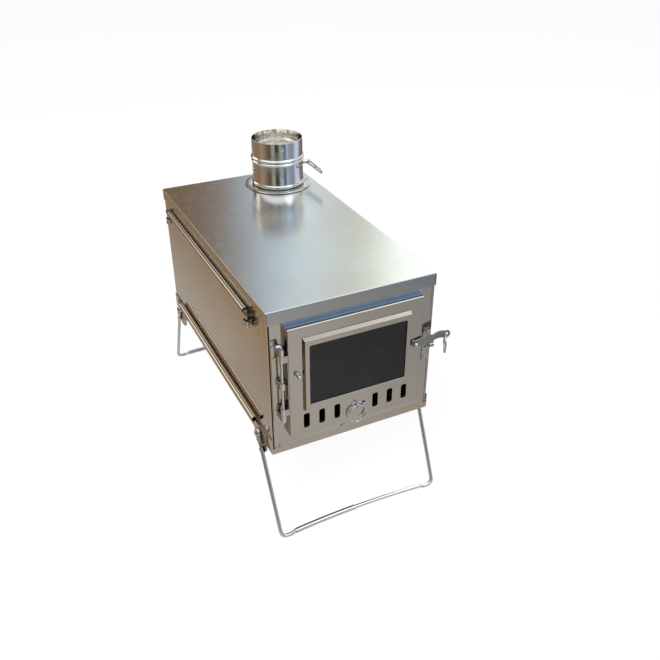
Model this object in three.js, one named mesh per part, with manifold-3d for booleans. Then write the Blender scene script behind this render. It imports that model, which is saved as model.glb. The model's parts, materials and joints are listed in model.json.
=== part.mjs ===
// A flat-packing tent wood stove: a folded sheet-metal firebox with a lift-off lid, a glazed
// door, a side-clamped lid, a flue collar with a damper, and two folding wire legs.
// Millimetres. +Z is up, the floor is z = 0 and the door faces -Y.
import * as THREE from 'three';
import { mergeVertices } from 'three/addons/utils/BufferGeometryUtils.js';
import Module from 'manifold-3d';

const wasm = await Module();
wasm.setup();

// ---------------------------------------------------------------- driving dimensions
const LENGTH = 380; // lid, front to back
const WIDTH = 204; // lid, side to side
const BODY_HEIGHT = 186; // tray underside to lid top
const GROUND = 108.5; // floor to tray underside
const SHEET = 0.8; // body sheet
const GAP = 0.3; // between pieces that touch
const BEND = 1.6; // outer radius of a folded edge

const LID_LIP = 15.3;
const LID_CORNER_SLIT = 0.7;
const TRAY_END_LIP = 12.7;
const TRAY_SIDE_LIP = 20.7;
const TRAY_NOTCH_WIDTH = 10;
const TRAY_NOTCH_DEPTH = 4.3;

const HEM_RADIUS = 3.6; // rolled tube along a side lip
const HEM_WALL = 1.2;
const HEM_BITE = 0.2; // how far the roll runs into its lip
const LID_HEM_DROP = 22; // lid top to roll centre
const LID_HEM_FRONT = 52; // lid front to roll end
const LID_HEM_REAR = 37.5;
const TRAY_HEM_RISE = 21.8; // tray underside to roll centre
const TRAY_HEM_FRONT = 44.7;
const TRAY_HEM_REAR = 42.5;

const TAB_SLIT_LENGTH = 4.5; // lanced slits in the side lips
const TAB_SLIT_HEIGHT = 1.1;
const TAB_SLIT_PAIR = 17;
const TAB_SLIT_RISE = 3.2; // tray underside to its slits
const CORNER_SLIT_SET = 12; // front end to the single slit
const HANG_SLIT_WIDTH = 1; // upright slits in the side panels, ahead of each bolt
const HANG_SLIT_HEIGHT = 7;
const HANG_SLIT_DROP = 36.7; // lid top to its middle
const HANG_SLIT_SET = 21.3; // bolt to slit

const CORNER_GAP = 1.2; // between an end panel and the side panels
const END_FLANGE = 12;
const DOOR_MARGIN = 19.5; // lid side to door side
const DOOR_DROP = 20.3; // lid top to door top
const DOOR_RISE = 27; // tray underside to door bottom
const DOOR_WIDTH = WIDTH - 2 * DOOR_MARGIN;
const DOOR_HEIGHT = BODY_HEIGHT - DOOR_DROP - DOOR_RISE;
const DOOR_DEPTH = 9.3;
const MOUTH_INSET = 8.5; // door edge to the firebox mouth behind it
const MOUTH_CORNER = 4;
const MOUTH_RETURN = 5;
const STILE = 23; // door side to clear glass
const HEAD_RAIL = 22.3; // door top to clear glass
const SILL_RAIL = 40.3; // door bottom to clear glass
const VIEW_WIDTH = DOOR_WIDTH - 2 * STILE;
const VIEW_HEIGHT = DOOR_HEIGHT - HEAD_RAIL - SILL_RAIL;
const VIEW_CORNER = 2;
const WINDOW_SIDE_RIM = 5;
const WINDOW_TOP_RIM = 6.4;
const WINDOW_SIDE_FLARE = 1.5;
const WINDOW_TOP_FLARE = 2.6;
const WINDOW_DEPTH = 4.4;
const GLASS_THICKNESS = 3;
const GLASS_LAP = 3; // glass behind the rim, each way

const SLOT_WIDTH = 7.4; // air slots
const SLOT_HEIGHT = 19.6;
const SLOT_CORNER = 2.4;
const SLOTS_PER_SIDE = 3;
const SLOT_FIRST = 24.3; // door centre to the first slot
const SLOT_MARGIN = 20.2; // door side to the last slot
const SLOT_PITCH = (DOOR_WIDTH / 2 - SLOT_FIRST - SLOT_MARGIN) / (SLOTS_PER_SIDE - 1);
const SLOT_RISE = 16.1; // door bottom to slot centre
const SLIDER_TRAVEL = SLOT_PITCH / 2;
const SLIDER_LAP = 2.6; // slider plate above and below the slots
const RAIL_HEIGHT = 1.8;
const RAIL_LAP = 1.6; // rail over the plate's edge

const EYE_PLATE_WIDTH = 12;
const EYE_PLATE_HEIGHT = 6;
const EYE_RISE = 2.4; // staple centre above the slot centres
const STEM_WIDTH = 2.5;
const STEM_HEIGHT = 2;
const STAPLE_WIRE = 0.8; // radius
const STAPLE_BORE = 2.2; // radius

const RING_RADIUS = 11.4; // split rings, to the wire's centre
const RING_WIRE = 1.1; // radius
const LATCH_RING_YAW = 26; // degrees out of the Y-Z plane

const STUD_SHANK = 1.6; // radius
const STUD_HEAD = 2.6;
const STUD_WASHER = 3.8;
const STUD_WASHER_THICKNESS = 1;
const STUD_CLEARANCE = 6; // window frame to stud centre
const STUD_INSET = STILE - WINDOW_SIDE_RIM - WINDOW_SIDE_FLARE - STUD_CLEARANCE;
const STUD_DROP = 58.1; // door top to stud
const STUD_REACH = 7.7; // stud in front of the door
const BAR_RADIUS = 1.4; // rod behind the glass
const BAR_BOW = 1.2;

const HINGE_OFFSET = 6.3; // door edge to pin centre
const HINGE_STANDOFF = 7.6; // front panel to pin centre
const PIN_RADIUS = 1.5;
const KNUCKLE_RADIUS = 3.1;
const KNUCKLE_HEIGHT = 8;
const HINGE_DROP = 20.7; // door top to the frame leaf's top
const HINGE_RISE = 22; // door bottom to the frame leaf's bottom
const HINGE_HEIGHT = DOOR_HEIGHT - HINGE_DROP - HINGE_RISE;
const HINGE_LAND = 1; // leaf beyond its end knuckles
const HINGE_BRIDGE = 1.2; // leaf between a knuckle and the window beside it
const HINGE_RIM = 1.5; // metal round the door leaf's windows
const LEAF_WIDTH = 12;
const PIN_HOOK = 6;

const LATCH_THICKNESS = 1.5;
const LATCH_REACH = 42.3; // pivot to the ring hole
const LATCH_RISE = 1.6;
const LATCH_BOSS = 4.5; // radius
const LATCH_TIP = 5.2; // radius
const LATCH_HEEL = 4.8; // depth under the pivot's far side
const LATCH_DEPTH = 5.6; // depth at the shoulder
const LATCH_SHOULDER = [16.3, 25.3]; // pivot to the deep middle's ends
const LATCH_NECK = [-2.2, 6]; // lower and upper edge past the shoulder
const LATCH_HUMP = [[21.4, 6.2], [19.6, 8.2], [13.4, 6.4]]; // step on top
const LATCH_BOW = 10.3; // tip to where the tail's curves turn
const LATCH_TAIL = [1, 10.5]; // height of the two curves there
const LATCH_RING_HOLE = 2.4; // radius
const LATCH_RING_HANG = 0.5; // ring wire below the hole's centre
const CATCH_WIDTH = 9;
const CATCH_ABOVE = 8.6; // strip above the pivot
const CATCH_BELOW = 34.6;
const CATCH_OUT = 22.3; // pivot to strip centre
const CATCH_TONGUE = 6;
const CATCH_DROP = 2.6; // arm's drop behind the lip
const CATCH_SKEW = 0.7; // its hole and rivet towards the door
const CATCH_HOLE = 1.6; // radius
const CATCH_HOLE_DROP = 16.1; // pivot to hole
const CATCH_RIVET_DROP = 30.5; // pivot to rivet

const FLUE_RADIUS = 35;
const FLUE_HEIGHT = 66; // lid top to rim
const FLUE_WALL = 0.8;
const FLUE_TUCK = 4; // collar below the lid
const FLUE_FROM_RIGHT = 50.6;
const FLUE_FROM_REAR = 48.8;
const BEAD_PROUD = 1.7;
const BEADS = [[4.8, 6, BEAD_PROUD], [35.9, 3.4, 1.1], [40.7, 5, BEAD_PROUD]]; // level, height and rise
const FLANGE_RADIUS = 46.3;
const FLANGE_RIVETS = 4;
const FLANGE_RIVET_CIRCLE = 41.5; // radius

const DAMPER_RISE = 24.3;
const DAMPER_CLEARANCE = 1.2; // plate edge to collar bore
const DAMPER_THICKNESS = 1;
const SHAFT_RADIUS = 2;
const SHAFT_HEAD = 1.2; // left head proud of the shaft
const HUB_RADIUS = 3.1;
const HUB_LENGTH = 10;
const HANDLE_LENGTH = 45.5;
const HANDLE_WIDTH = 5;
const HANDLE_WIRE = 1.2; // radius
const HANDLE_TILT = 1.6; // degrees

const CLAMP_ROD = HEM_RADIUS - HEM_WALL - GAP; // radius, a running fit in its roll
const CLAMP_EYE_WALL = 0.8;
const CLAMP_EYE_WIDTH = 4;
const CLAMP_SET = 5.3; // roll end to bolt centre
const BOLT_RADIUS = 1.3;
const BOLT_LENGTH = 19;
const NUT_DROP = 8.3; // rod centre to the nut's top
const NUT_RADIUS = 3.2; // flange
const NUT_GRIP = 4; // scalloped grip's radius
const NUT_HEIGHT = 5.6;
const NUT_LOBES = 10;
const NUT_SCALLOP = 0.5;
const TAB_THICKNESS = 0.8;
const TAB_WIDTH = 8.6;
const TAB_REACH = 1.5; // beyond the bolt centre
const TAB_PLATE = 0.6;
const TAB_PLATE_HEIGHT = 11;

const WIRE = 2.3; // leg wire radius
const LEG_PIVOT_SET = 33; // lid end to pivot
const LEG_PIVOT_Y = LENGTH / 2 - LEG_PIVOT_SET;
const LEG_PIVOT_RISE = 11; // above the tray underside
const FOOT_REACH = 24; // foot beyond the lid's end
const FOOT_Y = LENGTH / 2 + FOOT_REACH;
const FOOT_INSET = 1.7; // each leg draws in towards its foot
const LEG_BEND = 8;
const FOOT_LENGTH = 13; // corner to the end of the wire's level stretch
const FOOT_FLAT = 0.3; // worn flat under it
const KINK_LENGTH = 4; // short kink up after it
const KINK_RISE = 1.7;
const BAR_RISE = 4.8; // middle of the floor bar above its ends
const SLEEVE_WALL = 0.5;
const SLEEVE_MARGIN = 1; // past the kink
const SLEEVE_END = 6; // left of the middle
const SLEEVE_SHARE = 0.5; // where the two wires meet inside it
const EAR_THICKNESS = 1.2;
const EAR_WIDTH = 37;
const EAR_BELOW = 16; // ear below the tray
const EYE_RADIUS = 5.4;
const PIVOT_RADIUS = 2;
const PIVOT_HEAD = 3.8;

const GRATE_WIDTH = WIDTH - 32;
const GRATE_LENGTH = LENGTH - 50;
const GRATE_RISE = 12;
const GRATE_SLOTS = 9;
const GRATE_SLOT_WIDTH = 6;
const RIVET_RADIUS = 1.9;
const RIVET_HEIGHT = 1.1;

// ---------------------------------------------------------------- levels and planes
const HALF_W = WIDTH / 2;
const HALF_L = LENGTH / 2;
const TOP = GROUND + BODY_HEIGHT;
const SIDE = HALF_W - SHEET - GAP; // side panels' outer faces
const FRONT = -(HALF_L - SHEET - GAP); // front panel's front face
const WALL_LOW = GROUND + SHEET + GAP;
const WALL_HIGH = TOP - SHEET - GAP;
const DOOR_FACE = FRONT - GAP - DOOR_DEPTH;
const DOOR_TOP = TOP - DOOR_DROP;
const DOOR_Z = DOOR_TOP - DOOR_HEIGHT / 2;
const DOOR_LOW = DOOR_TOP - DOOR_HEIGHT;
const VIEW_Z = DOOR_LOW + SILL_RAIL + VIEW_HEIGHT / 2;
const SLOT_Z = DOOR_LOW + SLOT_RISE;
const HINGE_X = -DOOR_WIDTH / 2 - HINGE_OFFSET;
const HINGE_Y = FRONT - HINGE_STANDOFF;
const HINGE_TOP = DOOR_TOP - HINGE_DROP;
const STUD_X = DOOR_WIDTH / 2 - STUD_INSET;
const STUD_Z = DOOR_TOP - STUD_DROP;
const ARM_BACK = DOOR_FACE - STUD_WASHER_THICKNESS - 2 * GAP; // latch arm's rear face
const ARM_FRONT = ARM_BACK - LATCH_THICKNESS;
const FLUE_X = HALF_W - FLUE_FROM_RIGHT;
const FLUE_Y = HALF_L - FLUE_FROM_REAR;
const HEM_X = HALF_W - HEM_BITE + HEM_RADIUS;
const LID_HEM_Z = TOP - LID_HEM_DROP;
const TRAY_HEM_Z = GROUND + TRAY_HEM_RISE;
const LID_HEM_SPAN = [LID_HEM_FRONT - HALF_L, HALF_L - LID_HEM_REAR];
const TRAY_HEM_SPAN = [TRAY_HEM_FRONT - HALF_L, HALF_L - TRAY_HEM_REAR];
const CLAMP_Y = [LID_HEM_SPAN[0] - CLAMP_SET, LID_HEM_SPAN[1] + CLAMP_SET];
const EAR_X = HALF_W + GAP;
const LEG_X = EAR_X + EAR_THICKNESS + GAP + WIRE;
const PIVOT_Z = GROUND + LEG_PIVOT_RISE;

// ---------------------------------------------------------------- materials
const metal = (color, roughness) => new THREE.MeshStandardMaterial({ color, roughness, metalness: 1 });
const SHEET_METAL = metal(0xb9b7b0, 0.24);
const LID_METAL = metal(0xb4bcc0, 0.26);
const BRIGHT = metal(0xd6d8da, 0.12);
const WIRE_METAL = metal(0xd0d2d6, 0.1);
const BRUSHED = metal(0x8f8b84, 0.38);
const SOOTED = metal(0x4a4643, 0.7);
const GLASS = new THREE.MeshStandardMaterial({ color: 0x16130f, roughness: 0.05, opacity: 0.45 });

// ---------------------------------------------------------------- solids
const AXES = {
  x: new THREE.Matrix4().set(0, 0, 1, 0, 1, 0, 0, 0, 0, 1, 0, 0, 0, 0, 0, 1),
  y: new THREE.Matrix4().set(1, 0, 0, 0, 0, 0, -1, 0, 0, 1, 0, 0, 0, 0, 0, 1),
  z: new THREE.Matrix4(),
};

// A shape drawn in the plane across `axis` (Y-Z, X-Z or X-Y) and pushed along it.
function prism(axis, shape, from, to, curveSegments = 3) {
  const depth = to - from;
  const geometry = new THREE.ExtrudeGeometry(shape, { depth, bevelEnabled: false, curveSegments });
  geometry.applyMatrix4(AXES[axis]);
  const start = { x: [from, 0, 0], y: [0, to, 0], z: [0, 0, from] }[axis];
  return geometry.translate(...start);
}

function block(x, y, z) {
  const geometry = new THREE.BoxGeometry(x[1] - x[0], y[1] - y[0], z[1] - z[0]);
  return geometry.translate((x[0] + x[1]) / 2, (y[0] + y[1]) / 2, (z[0] + z[1]) / 2);
}

function circle(u, v, radius) {
  return new THREE.Shape().absarc(u, v, radius, 0, 2 * Math.PI, false);
}

function rounded(u, v, radius) {
  const [u0, u1] = u;
  const [v0, v1] = v;
  const shape = new THREE.Shape().moveTo(u0 + radius, v0);
  shape.absarc(u1 - radius, v0 + radius, radius, -Math.PI / 2, 0, false);
  shape.absarc(u1 - radius, v1 - radius, radius, 0, Math.PI / 2, false);
  shape.absarc(u0 + radius, v1 - radius, radius, Math.PI / 2, Math.PI, false);
  shape.absarc(u0 + radius, v0 + radius, radius, Math.PI, 1.5 * Math.PI, false);
  return shape;
}

function polygon(points) {
  return new THREE.Shape(points.map(([u, v]) => new THREE.Vector2(u, v)));
}

function rod(axis, u, v, radius, from, to, sides = 16) {
  return prism(axis, circle(u, v, radius), from, to, sides / 2);
}

function turned(profile, sides = 24) {
  const points = profile.map(([r, z]) => new THREE.Vector2(r, z));
  return new THREE.LatheGeometry(points, sides).rotateX(Math.PI / 2);
}

function toSolid(piece) {
  if (piece instanceof wasm.Manifold) return piece;
  const bare = piece.clone().deleteAttribute('normal').deleteAttribute('uv');
  const merged = mergeVertices(bare, 1e-4);
  const mesh = new wasm.Mesh({
    numProp: 3,
    vertProperties: Float32Array.from(merged.attributes.position.array),
    triVerts: Uint32Array.from(merged.index.array),
  });
  return new wasm.Manifold(mesh);
}

const join = (...pieces) => pieces.map(toSolid).reduce((whole, piece) => whole.add(piece));
const cut = (base, ...tools) => tools.map(toSolid).reduce((rest, tool) => rest.subtract(tool), toSolid(base));
const common = (a, b) => toSolid(a).intersect(toSolid(b));

function toGeometry(piece) {
  if (!(piece instanceof wasm.Manifold)) return piece;
  const mesh = piece.getMesh();
  const geometry = new THREE.BufferGeometry();
  geometry.setAttribute('position', new THREE.BufferAttribute(Float32Array.from(mesh.vertProperties), 3));
  geometry.setIndex(Array.from(mesh.triVerts));
  geometry.computeVertexNormals();
  return geometry;
}

// A path through chosen knots: long straights take one step and bends take several.
class KnotPath extends THREE.Curve {
  constructor(knots) {
    super();
    this.knots = knots;
  }

  getPoint(t, target = new THREE.Vector3()) {
    const place = THREE.MathUtils.clamp(t, 0, 1) * (this.knots.length - 1);
    const index = Math.min(Math.floor(place), this.knots.length - 2);
    return target.lerpVectors(this.knots[index], this.knots[index + 1], place - index);
  }

  getUtoTmapping(u) {
    return u;
  }
}

// Corner points joined by straights, each inner corner turned through `radius`.
function bentPath(points, radius, steps = 5) {
  const corners = points.map((point) => new THREE.Vector3(...point));
  const knots = [corners[0]];
  for (let i = 1; i < corners.length - 1; i += 1) {
    const back = corners[i - 1].clone().sub(corners[i]).normalize();
    const on = corners[i + 1].clone().sub(corners[i]).normalize();
    const reach = radius / Math.tan(back.angleTo(on) / 2);
    const start = corners[i].clone().addScaledVector(back, reach);
    const end = corners[i].clone().addScaledVector(on, reach);
    knots.push(...new THREE.QuadraticBezierCurve3(start, corners[i], end).getPoints(steps));
  }
  knots.push(corners[corners.length - 1]);
  return knots;
}

function wire(knots, radius, sides = 10) {
  const extrudePath = new KnotPath(knots);
  const steps = knots.length - 1;
  return new THREE.ExtrudeGeometry(circle(0, 0, radius), { steps, extrudePath, curveSegments: sides / 2 });
}

// A folded pan: its web lies on z = 0, its lips stand up and its folds are round.
function pan(width, length, depth, bend = BEND) {
  const tub = (w, low, high, r) => {
    const shape = new THREE.Shape().moveTo(-w / 2, high).lineTo(-w / 2, low + r);
    shape.absarc(-w / 2 + r, low + r, r, Math.PI, 1.5 * Math.PI, false);
    shape.absarc(w / 2 - r, low + r, r, 1.5 * Math.PI, 2 * Math.PI, false);
    return shape.lineTo(w / 2, high);
  };
  const filled = (w, l, low, high, r) => {
    const across = prism('y', tub(w, low, high, r), -l / 2, l / 2, 2);
    const along = prism('x', tub(l, low, high, r), -w / 2, w / 2, 2);
    return common(across, along);
  };
  const inner = filled(width - 2 * SHEET, length - 2 * SHEET, SHEET, depth + 1, bend - SHEET);
  return cut(filled(width, length, 0, depth, bend), inner);
}

// An end panel's plan: a web along v = 0 with a flange turned back at each side.
function channel(halfWidth, depth) {
  const inner = BEND - SHEET;
  const shape = new THREE.Shape().moveTo(-halfWidth, depth).lineTo(-halfWidth, BEND);
  shape.absarc(-halfWidth + BEND, BEND, BEND, Math.PI, 1.5 * Math.PI, false);
  shape.absarc(halfWidth - BEND, BEND, BEND, 1.5 * Math.PI, 2 * Math.PI, false);
  shape.lineTo(halfWidth, depth).lineTo(halfWidth - SHEET, depth);
  shape.absarc(halfWidth - BEND, BEND, inner, 2 * Math.PI, 1.5 * Math.PI, true);
  shape.absarc(-halfWidth + BEND, BEND, inner, 1.5 * Math.PI, Math.PI, true);
  return shape.lineTo(-halfWidth + SHEET, depth);
}

// A domed rivet head rooted in the sheet whose face is at `at`: its crown points up or forwards.
function rivet(at, facing, radius = RIVET_RADIUS) {
  const rise = RIVET_HEIGHT;
  const root = -SHEET / 2;
  const dome = turned([[0, root], [radius, root], [radius, 0], [radius * 0.8, rise * 0.6], [0, rise]], 10);
  if (facing === 'front') dome.rotateX(Math.PI / 2);
  return dome.translate(...at);
}

const stove = new THREE.Group();

function add(name, piece, material) {
  const mesh = new THREE.Mesh(toGeometry(piece), material);
  mesh.name = name;
  stove.add(mesh);
  return mesh;
}

// ---------------------------------------------------------------- lid and tray
function rolledHems(level, span, lipEdge) {
  const flapLow = Math.min(level, lipEdge);
  const flapHigh = Math.max(level, lipEdge);
  return [-1, 1].flatMap((side) => {
    const ring = circle(side * HEM_X, level, HEM_RADIUS);
    ring.holes.push(circle(side * HEM_X, level, HEM_RADIUS - HEM_WALL));
    const lip = [side * (HALF_W - SHEET), side * HALF_W].sort((a, b) => a - b);
    return [prism('y', ring, span[0], span[1], 8), block(lip, span, [flapLow, flapHigh])];
  });
}

// Two pairs of lanced slits and a single one near the front, through both side lips.
function tabSlits(level) {
  const pairs = [LENGTH * 0.18, -LENGTH * 0.155];
  const places = pairs.flatMap((y) => [y - TAB_SLIT_PAIR / 2, y + TAB_SLIT_PAIR / 2]);
  places.push(CORNER_SLIT_SET - HALF_L);
  const height = [level - TAB_SLIT_HEIGHT / 2, level + TAB_SLIT_HEIGHT / 2];
  return places.flatMap((y) => {
    const span = [y - TAB_SLIT_LENGTH / 2, y + TAB_SLIT_LENGTH / 2];
    const left = block([-HALF_W - 1, -SIDE - GAP / 2], span, height);
    const right = block([SIDE + GAP / 2, HALF_W + 1], span, height);
    return [left, right];
  });
}

function makeLid() {
  const shell = pan(WIDTH, LENGTH, LID_LIP).rotate([180, 0, 0]).translate([0, 0, TOP]);
  const slits = [];
  for (const side of [-1, 1]) {
    for (const end of [-1, 1]) {
      const x = [side * (HALF_W - SHEET - LID_CORNER_SLIT), side * (HALF_W - SHEET)].sort((a, b) => a - b);
      const y = [end * (HALF_L - SHEET - GAP / 2), end * (HALF_L + 1)].sort((a, b) => a - b);
      slits.push(block(x, y, [TOP - LID_LIP - 1, TOP - BEND]));
    }
  }
  const flueHole = rod('z', FLUE_X, FLUE_Y, FLUE_RADIUS + GAP, TOP - 2 * BEND, TOP + 1, 48);
  const hems = rolledHems(LID_HEM_Z, LID_HEM_SPAN, TOP - BEND);
  add('lid', cut(join(shell, ...hems), flueHole, ...slits, ...tabSlits(TOP - LID_LIP / 2)), LID_METAL);
}

function makeTray() {
  const shell = pan(WIDTH, LENGTH, TRAY_SIDE_LIP).translate([0, 0, GROUND]);
  const lowered = [];
  for (const end of [-1, 1]) {
    const y = [end * (HALF_L - SHEET - GAP / 2), end * (HALF_L + 1)].sort((a, b) => a - b);
    const inner = HALF_W - SHEET;
    const notch = HALF_W - TRAY_NOTCH_WIDTH;
    lowered.push(block([-inner, inner], y, [GROUND + TRAY_END_LIP, GROUND + TRAY_SIDE_LIP + 1]));
    for (const x of [[-inner, -notch], [notch, inner]]) {
      lowered.push(block(x, y, [GROUND + TRAY_END_LIP - TRAY_NOTCH_DEPTH, GROUND + TRAY_END_LIP + 1]));
    }
  }
  const hems = rolledHems(TRAY_HEM_Z, TRAY_HEM_SPAN, GROUND + BEND);
  add('tray', cut(join(shell, ...hems), ...lowered, ...tabSlits(GROUND + TAB_SLIT_RISE)), SHEET_METAL);
}

// ---------------------------------------------------------------- walls and grate
function makeWalls() {
  const level = [WALL_LOW, WALL_HIGH];
  const slitZ = TOP - HANG_SLIT_DROP;
  const slits = CLAMP_Y.map((bolt) => {
    const y = bolt - HANG_SLIT_SET;
    const span = [y - HANG_SLIT_WIDTH / 2, y + HANG_SLIT_WIDTH / 2];
    return block([-WIDTH, WIDTH], span, [slitZ - HANG_SLIT_HEIGHT / 2, slitZ + HANG_SLIT_HEIGHT / 2]);
  });
  const side = (x) => cut(block(x, [FRONT, -FRONT], level), ...slits);
  add('left_side_panel', side([-SIDE, -SIDE + SHEET]), SHEET_METAL);
  add('right_side_panel', side([SIDE - SHEET, SIDE]), SHEET_METAL);
  const halfWidth = SIDE - SHEET - CORNER_GAP;
  const back = prism('z', channel(halfWidth, END_FLANGE), ...level);
  add('back_panel', back.rotateZ(Math.PI).translate(0, -FRONT, 0), SHEET_METAL);
  const face = prism('z', channel(halfWidth, END_FLANGE), ...level).translate(0, FRONT, 0);
  const across = [MOUTH_INSET - DOOR_WIDTH / 2, DOOR_WIDTH / 2 - MOUTH_INSET];
  const up = [DOOR_LOW + MOUTH_INSET, DOOR_TOP - MOUTH_INSET];
  const grown = (range, by) => [range[0] - by, range[1] + by];
  const rim = rounded(grown(across, SHEET), grown(up, SHEET), MOUTH_CORNER + SHEET);
  const mouth = prism('y', rounded(across, up, MOUTH_CORNER), FRONT - 1, FRONT + MOUTH_RETURN + 1);
  add('front_panel', cut(join(face, prism('y', rim, FRONT, FRONT + MOUTH_RETURN)), mouth), SHEET_METAL);
}

function makeGrate() {
  const low = WALL_LOW + GAP;
  const x = [-GRATE_WIDTH / 2, GRATE_WIDTH / 2];
  const y = [-GRATE_LENGTH / 2, GRATE_LENGTH / 2];
  const shell = block(x, y, [low, low + GRATE_RISE]);
  const under = [low - 1, low + GRATE_RISE - SHEET];
  const hollow = block([x[0] + SHEET, x[1] - SHEET], [y[0] - 1, y[1] + 1], under);
  const pitch = GRATE_WIDTH / (GRATE_SLOTS + 1);
  const slots = [];
  for (let i = 1; i <= GRATE_SLOTS; i += 1) {
    for (const half of [-1, 1]) {
      const u = [x[0] + i * pitch - GRATE_SLOT_WIDTH / 2, x[0] + i * pitch + GRATE_SLOT_WIDTH / 2];
      const v = [half * GRATE_LENGTH * 0.04, half * GRATE_LENGTH * 0.45].sort((a, b) => a - b);
      slots.push(prism('z', rounded(u, v, GRATE_SLOT_WIDTH * 0.49), low, low + GRATE_RISE + 1, 1));
    }
  }
  add('grate', cut(shell, hollow, ...slots), SOOTED);
}

// ---------------------------------------------------------------- door
// The air slots' centres, mirrored about the door's middle.
const slotCentres = [-1, 1].flatMap((side) => (
  Array.from({ length: SLOTS_PER_SIDE }, (_, i) => side * (SLOT_FIRST + i * SLOT_PITCH))));

function slotCutters(y, grow = 0) {
  return slotCentres.map((x) => {
    const u = [x - SLOT_WIDTH / 2 - grow, x + SLOT_WIDTH / 2 + grow];
    const v = [SLOT_Z - SLOT_HEIGHT / 2 - grow, SLOT_Z + SLOT_HEIGHT / 2 + grow];
    return prism('y', rounded(u, v, SLOT_CORNER), ...y, 2);
  });
}

function viewShape(grow) {
  const u = [-VIEW_WIDTH / 2 - grow, VIEW_WIDTH / 2 + grow];
  const v = [VIEW_Z - VIEW_HEIGHT / 2 - grow, VIEW_Z + VIEW_HEIGHT / 2 + grow];
  return rounded(u, v, VIEW_CORNER);
}

// The stem's slot lets the slider travel towards +X.
function stemSlot(y) {
  const u = [-STEM_WIDTH / 2 - GAP, STEM_WIDTH / 2 + GAP + SLIDER_TRAVEL];
  const z = SLOT_Z + EYE_RISE;
  return block(u, y, [z - STEM_HEIGHT / 2 - GAP, z + STEM_HEIGHT / 2 + GAP]);
}

function makeDoor() {
  const through = [DOOR_FACE - 1, DOOR_FACE + SHEET + 1];
  const flat = pan(DOOR_WIDTH, DOOR_HEIGHT, DOOR_DEPTH);
  const shell = flat.rotate([-90, 0, 0]).translate([0, DOOR_FACE, DOOR_Z]);
  const studHoles = [-1, 1].map((side) => rod('y', side * STUD_X, STUD_Z, STUD_SHANK + GAP, ...through));
  const view = prism('y', viewShape(-2), ...through, 2);
  add('door_panel', cut(shell, view, stemSlot(through), ...slotCutters(through), ...studHoles), SHEET_METAL);
}

// A four-sided block whose front face is smaller than its back.
function tapered(half, flare, y) {
  const geometry = new THREE.BoxGeometry(2, y[1] - y[0], 2);
  const position = geometry.attributes.position;
  for (let i = 0; i < position.count; i += 1) {
    const grow = position.getY(i) > 0 ? 1 : 0;
    position.setX(i, position.getX(i) * (half[0] + grow * flare[0]));
    position.setZ(i, position.getZ(i) * (half[1] + grow * flare[1]));
  }
  return geometry.translate(0, (y[0] + y[1]) / 2, VIEW_Z);
}

function makeWindow() {
  const back = DOOR_FACE - GAP;
  const face = back - WINDOW_DEPTH;
  const half = [VIEW_WIDTH / 2 + WINDOW_SIDE_RIM, VIEW_HEIGHT / 2 + WINDOW_TOP_RIM];
  const flare = [WINDOW_SIDE_FLARE, WINDOW_TOP_FLARE];
  const outer = tapered(half, flare, [face, back]);
  const inner = tapered(half.map((size) => size - SHEET), flare, [face + SHEET, back + SHEET]);
  const view = prism('y', viewShape(0), face - 1, face + SHEET + 1, 2);
  add('window_frame', cut(outer, inner, view), SHEET_METAL);
  const glassFront = face + SHEET + GAP;
  const pane = prism('y', viewShape(GLASS_LAP), glassFront, glassFront + GLASS_THICKNESS, 1);
  add('window_glass', pane, GLASS);
}

// A spool through the door face: a washer outside, an inner head and a round nose.
function stud(side, nose) {
  const x = side * STUD_X;
  const inside = DOOR_FACE + SHEET;
  const barRoom = 2 * BAR_RADIUS + 2 * GAP;
  const headBack = inside + barRoom;
  return join(
    rod('y', x, STUD_Z, STUD_SHANK, nose, headBack + 0.5, 12),
    rod('y', x, STUD_Z, STUD_WASHER, DOOR_FACE - GAP - STUD_WASHER_THICKNESS, DOOR_FACE - GAP, 14),
    rod('y', x, STUD_Z, STUD_WASHER - 0.6, headBack, headBack + 1, 12),
    rod('y', x, STUD_Z, STUD_HEAD, DOOR_FACE - STUD_REACH + 0.8, nose + 0.4, 12),
    rod('y', x, STUD_Z, STUD_HEAD * 0.7, DOOR_FACE - STUD_REACH, DOOR_FACE - STUD_REACH + 1.2, 12),
  );
}

function makeStuds() {
  add('window_stud', stud(-1, DOOR_FACE - GAP - 0.5), BRIGHT);
  add('latch_stud', stud(1, ARM_FRONT - GAP - 0.4), BRIGHT);
  const y = DOOR_FACE + SHEET + GAP + BAR_RADIUS;
  const reach = STUD_X - STUD_SHANK - GAP;
  const ends = [-1, 1].map((side) => {
    const eye = rod('y', side * STUD_X, STUD_Z, STUD_SHANK + GAP + 1.6, y - BAR_RADIUS, y + BAR_RADIUS, 12);
    return cut(eye, rod('y', side * STUD_X, STUD_Z, STUD_SHANK + GAP, y - 5, y + 5, 12));
  });
  const knots = [-1, -0.5, 0, 0.5, 1].map((t) => (
    new THREE.Vector3(t * (reach - 0.8), y, STUD_Z + BAR_BOW * (1 - t * t))));
  add('glass_bar', join(wire(knots, BAR_RADIUS, 8), ...ends), BRUSHED);
}

// ---------------------------------------------------------------- hinge
function knuckle(levels, web) {
  const ring = circle(HINGE_X, HINGE_Y, KNUCKLE_RADIUS);
  const body = join(prism('z', ring, ...levels, 8), block(web[0], web[1], levels));
  return cut(body, rod('z', HINGE_X, HINGE_Y, PIN_RADIUS + GAP, levels[0] - 1, levels[1] + 1, 12));
}

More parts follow.
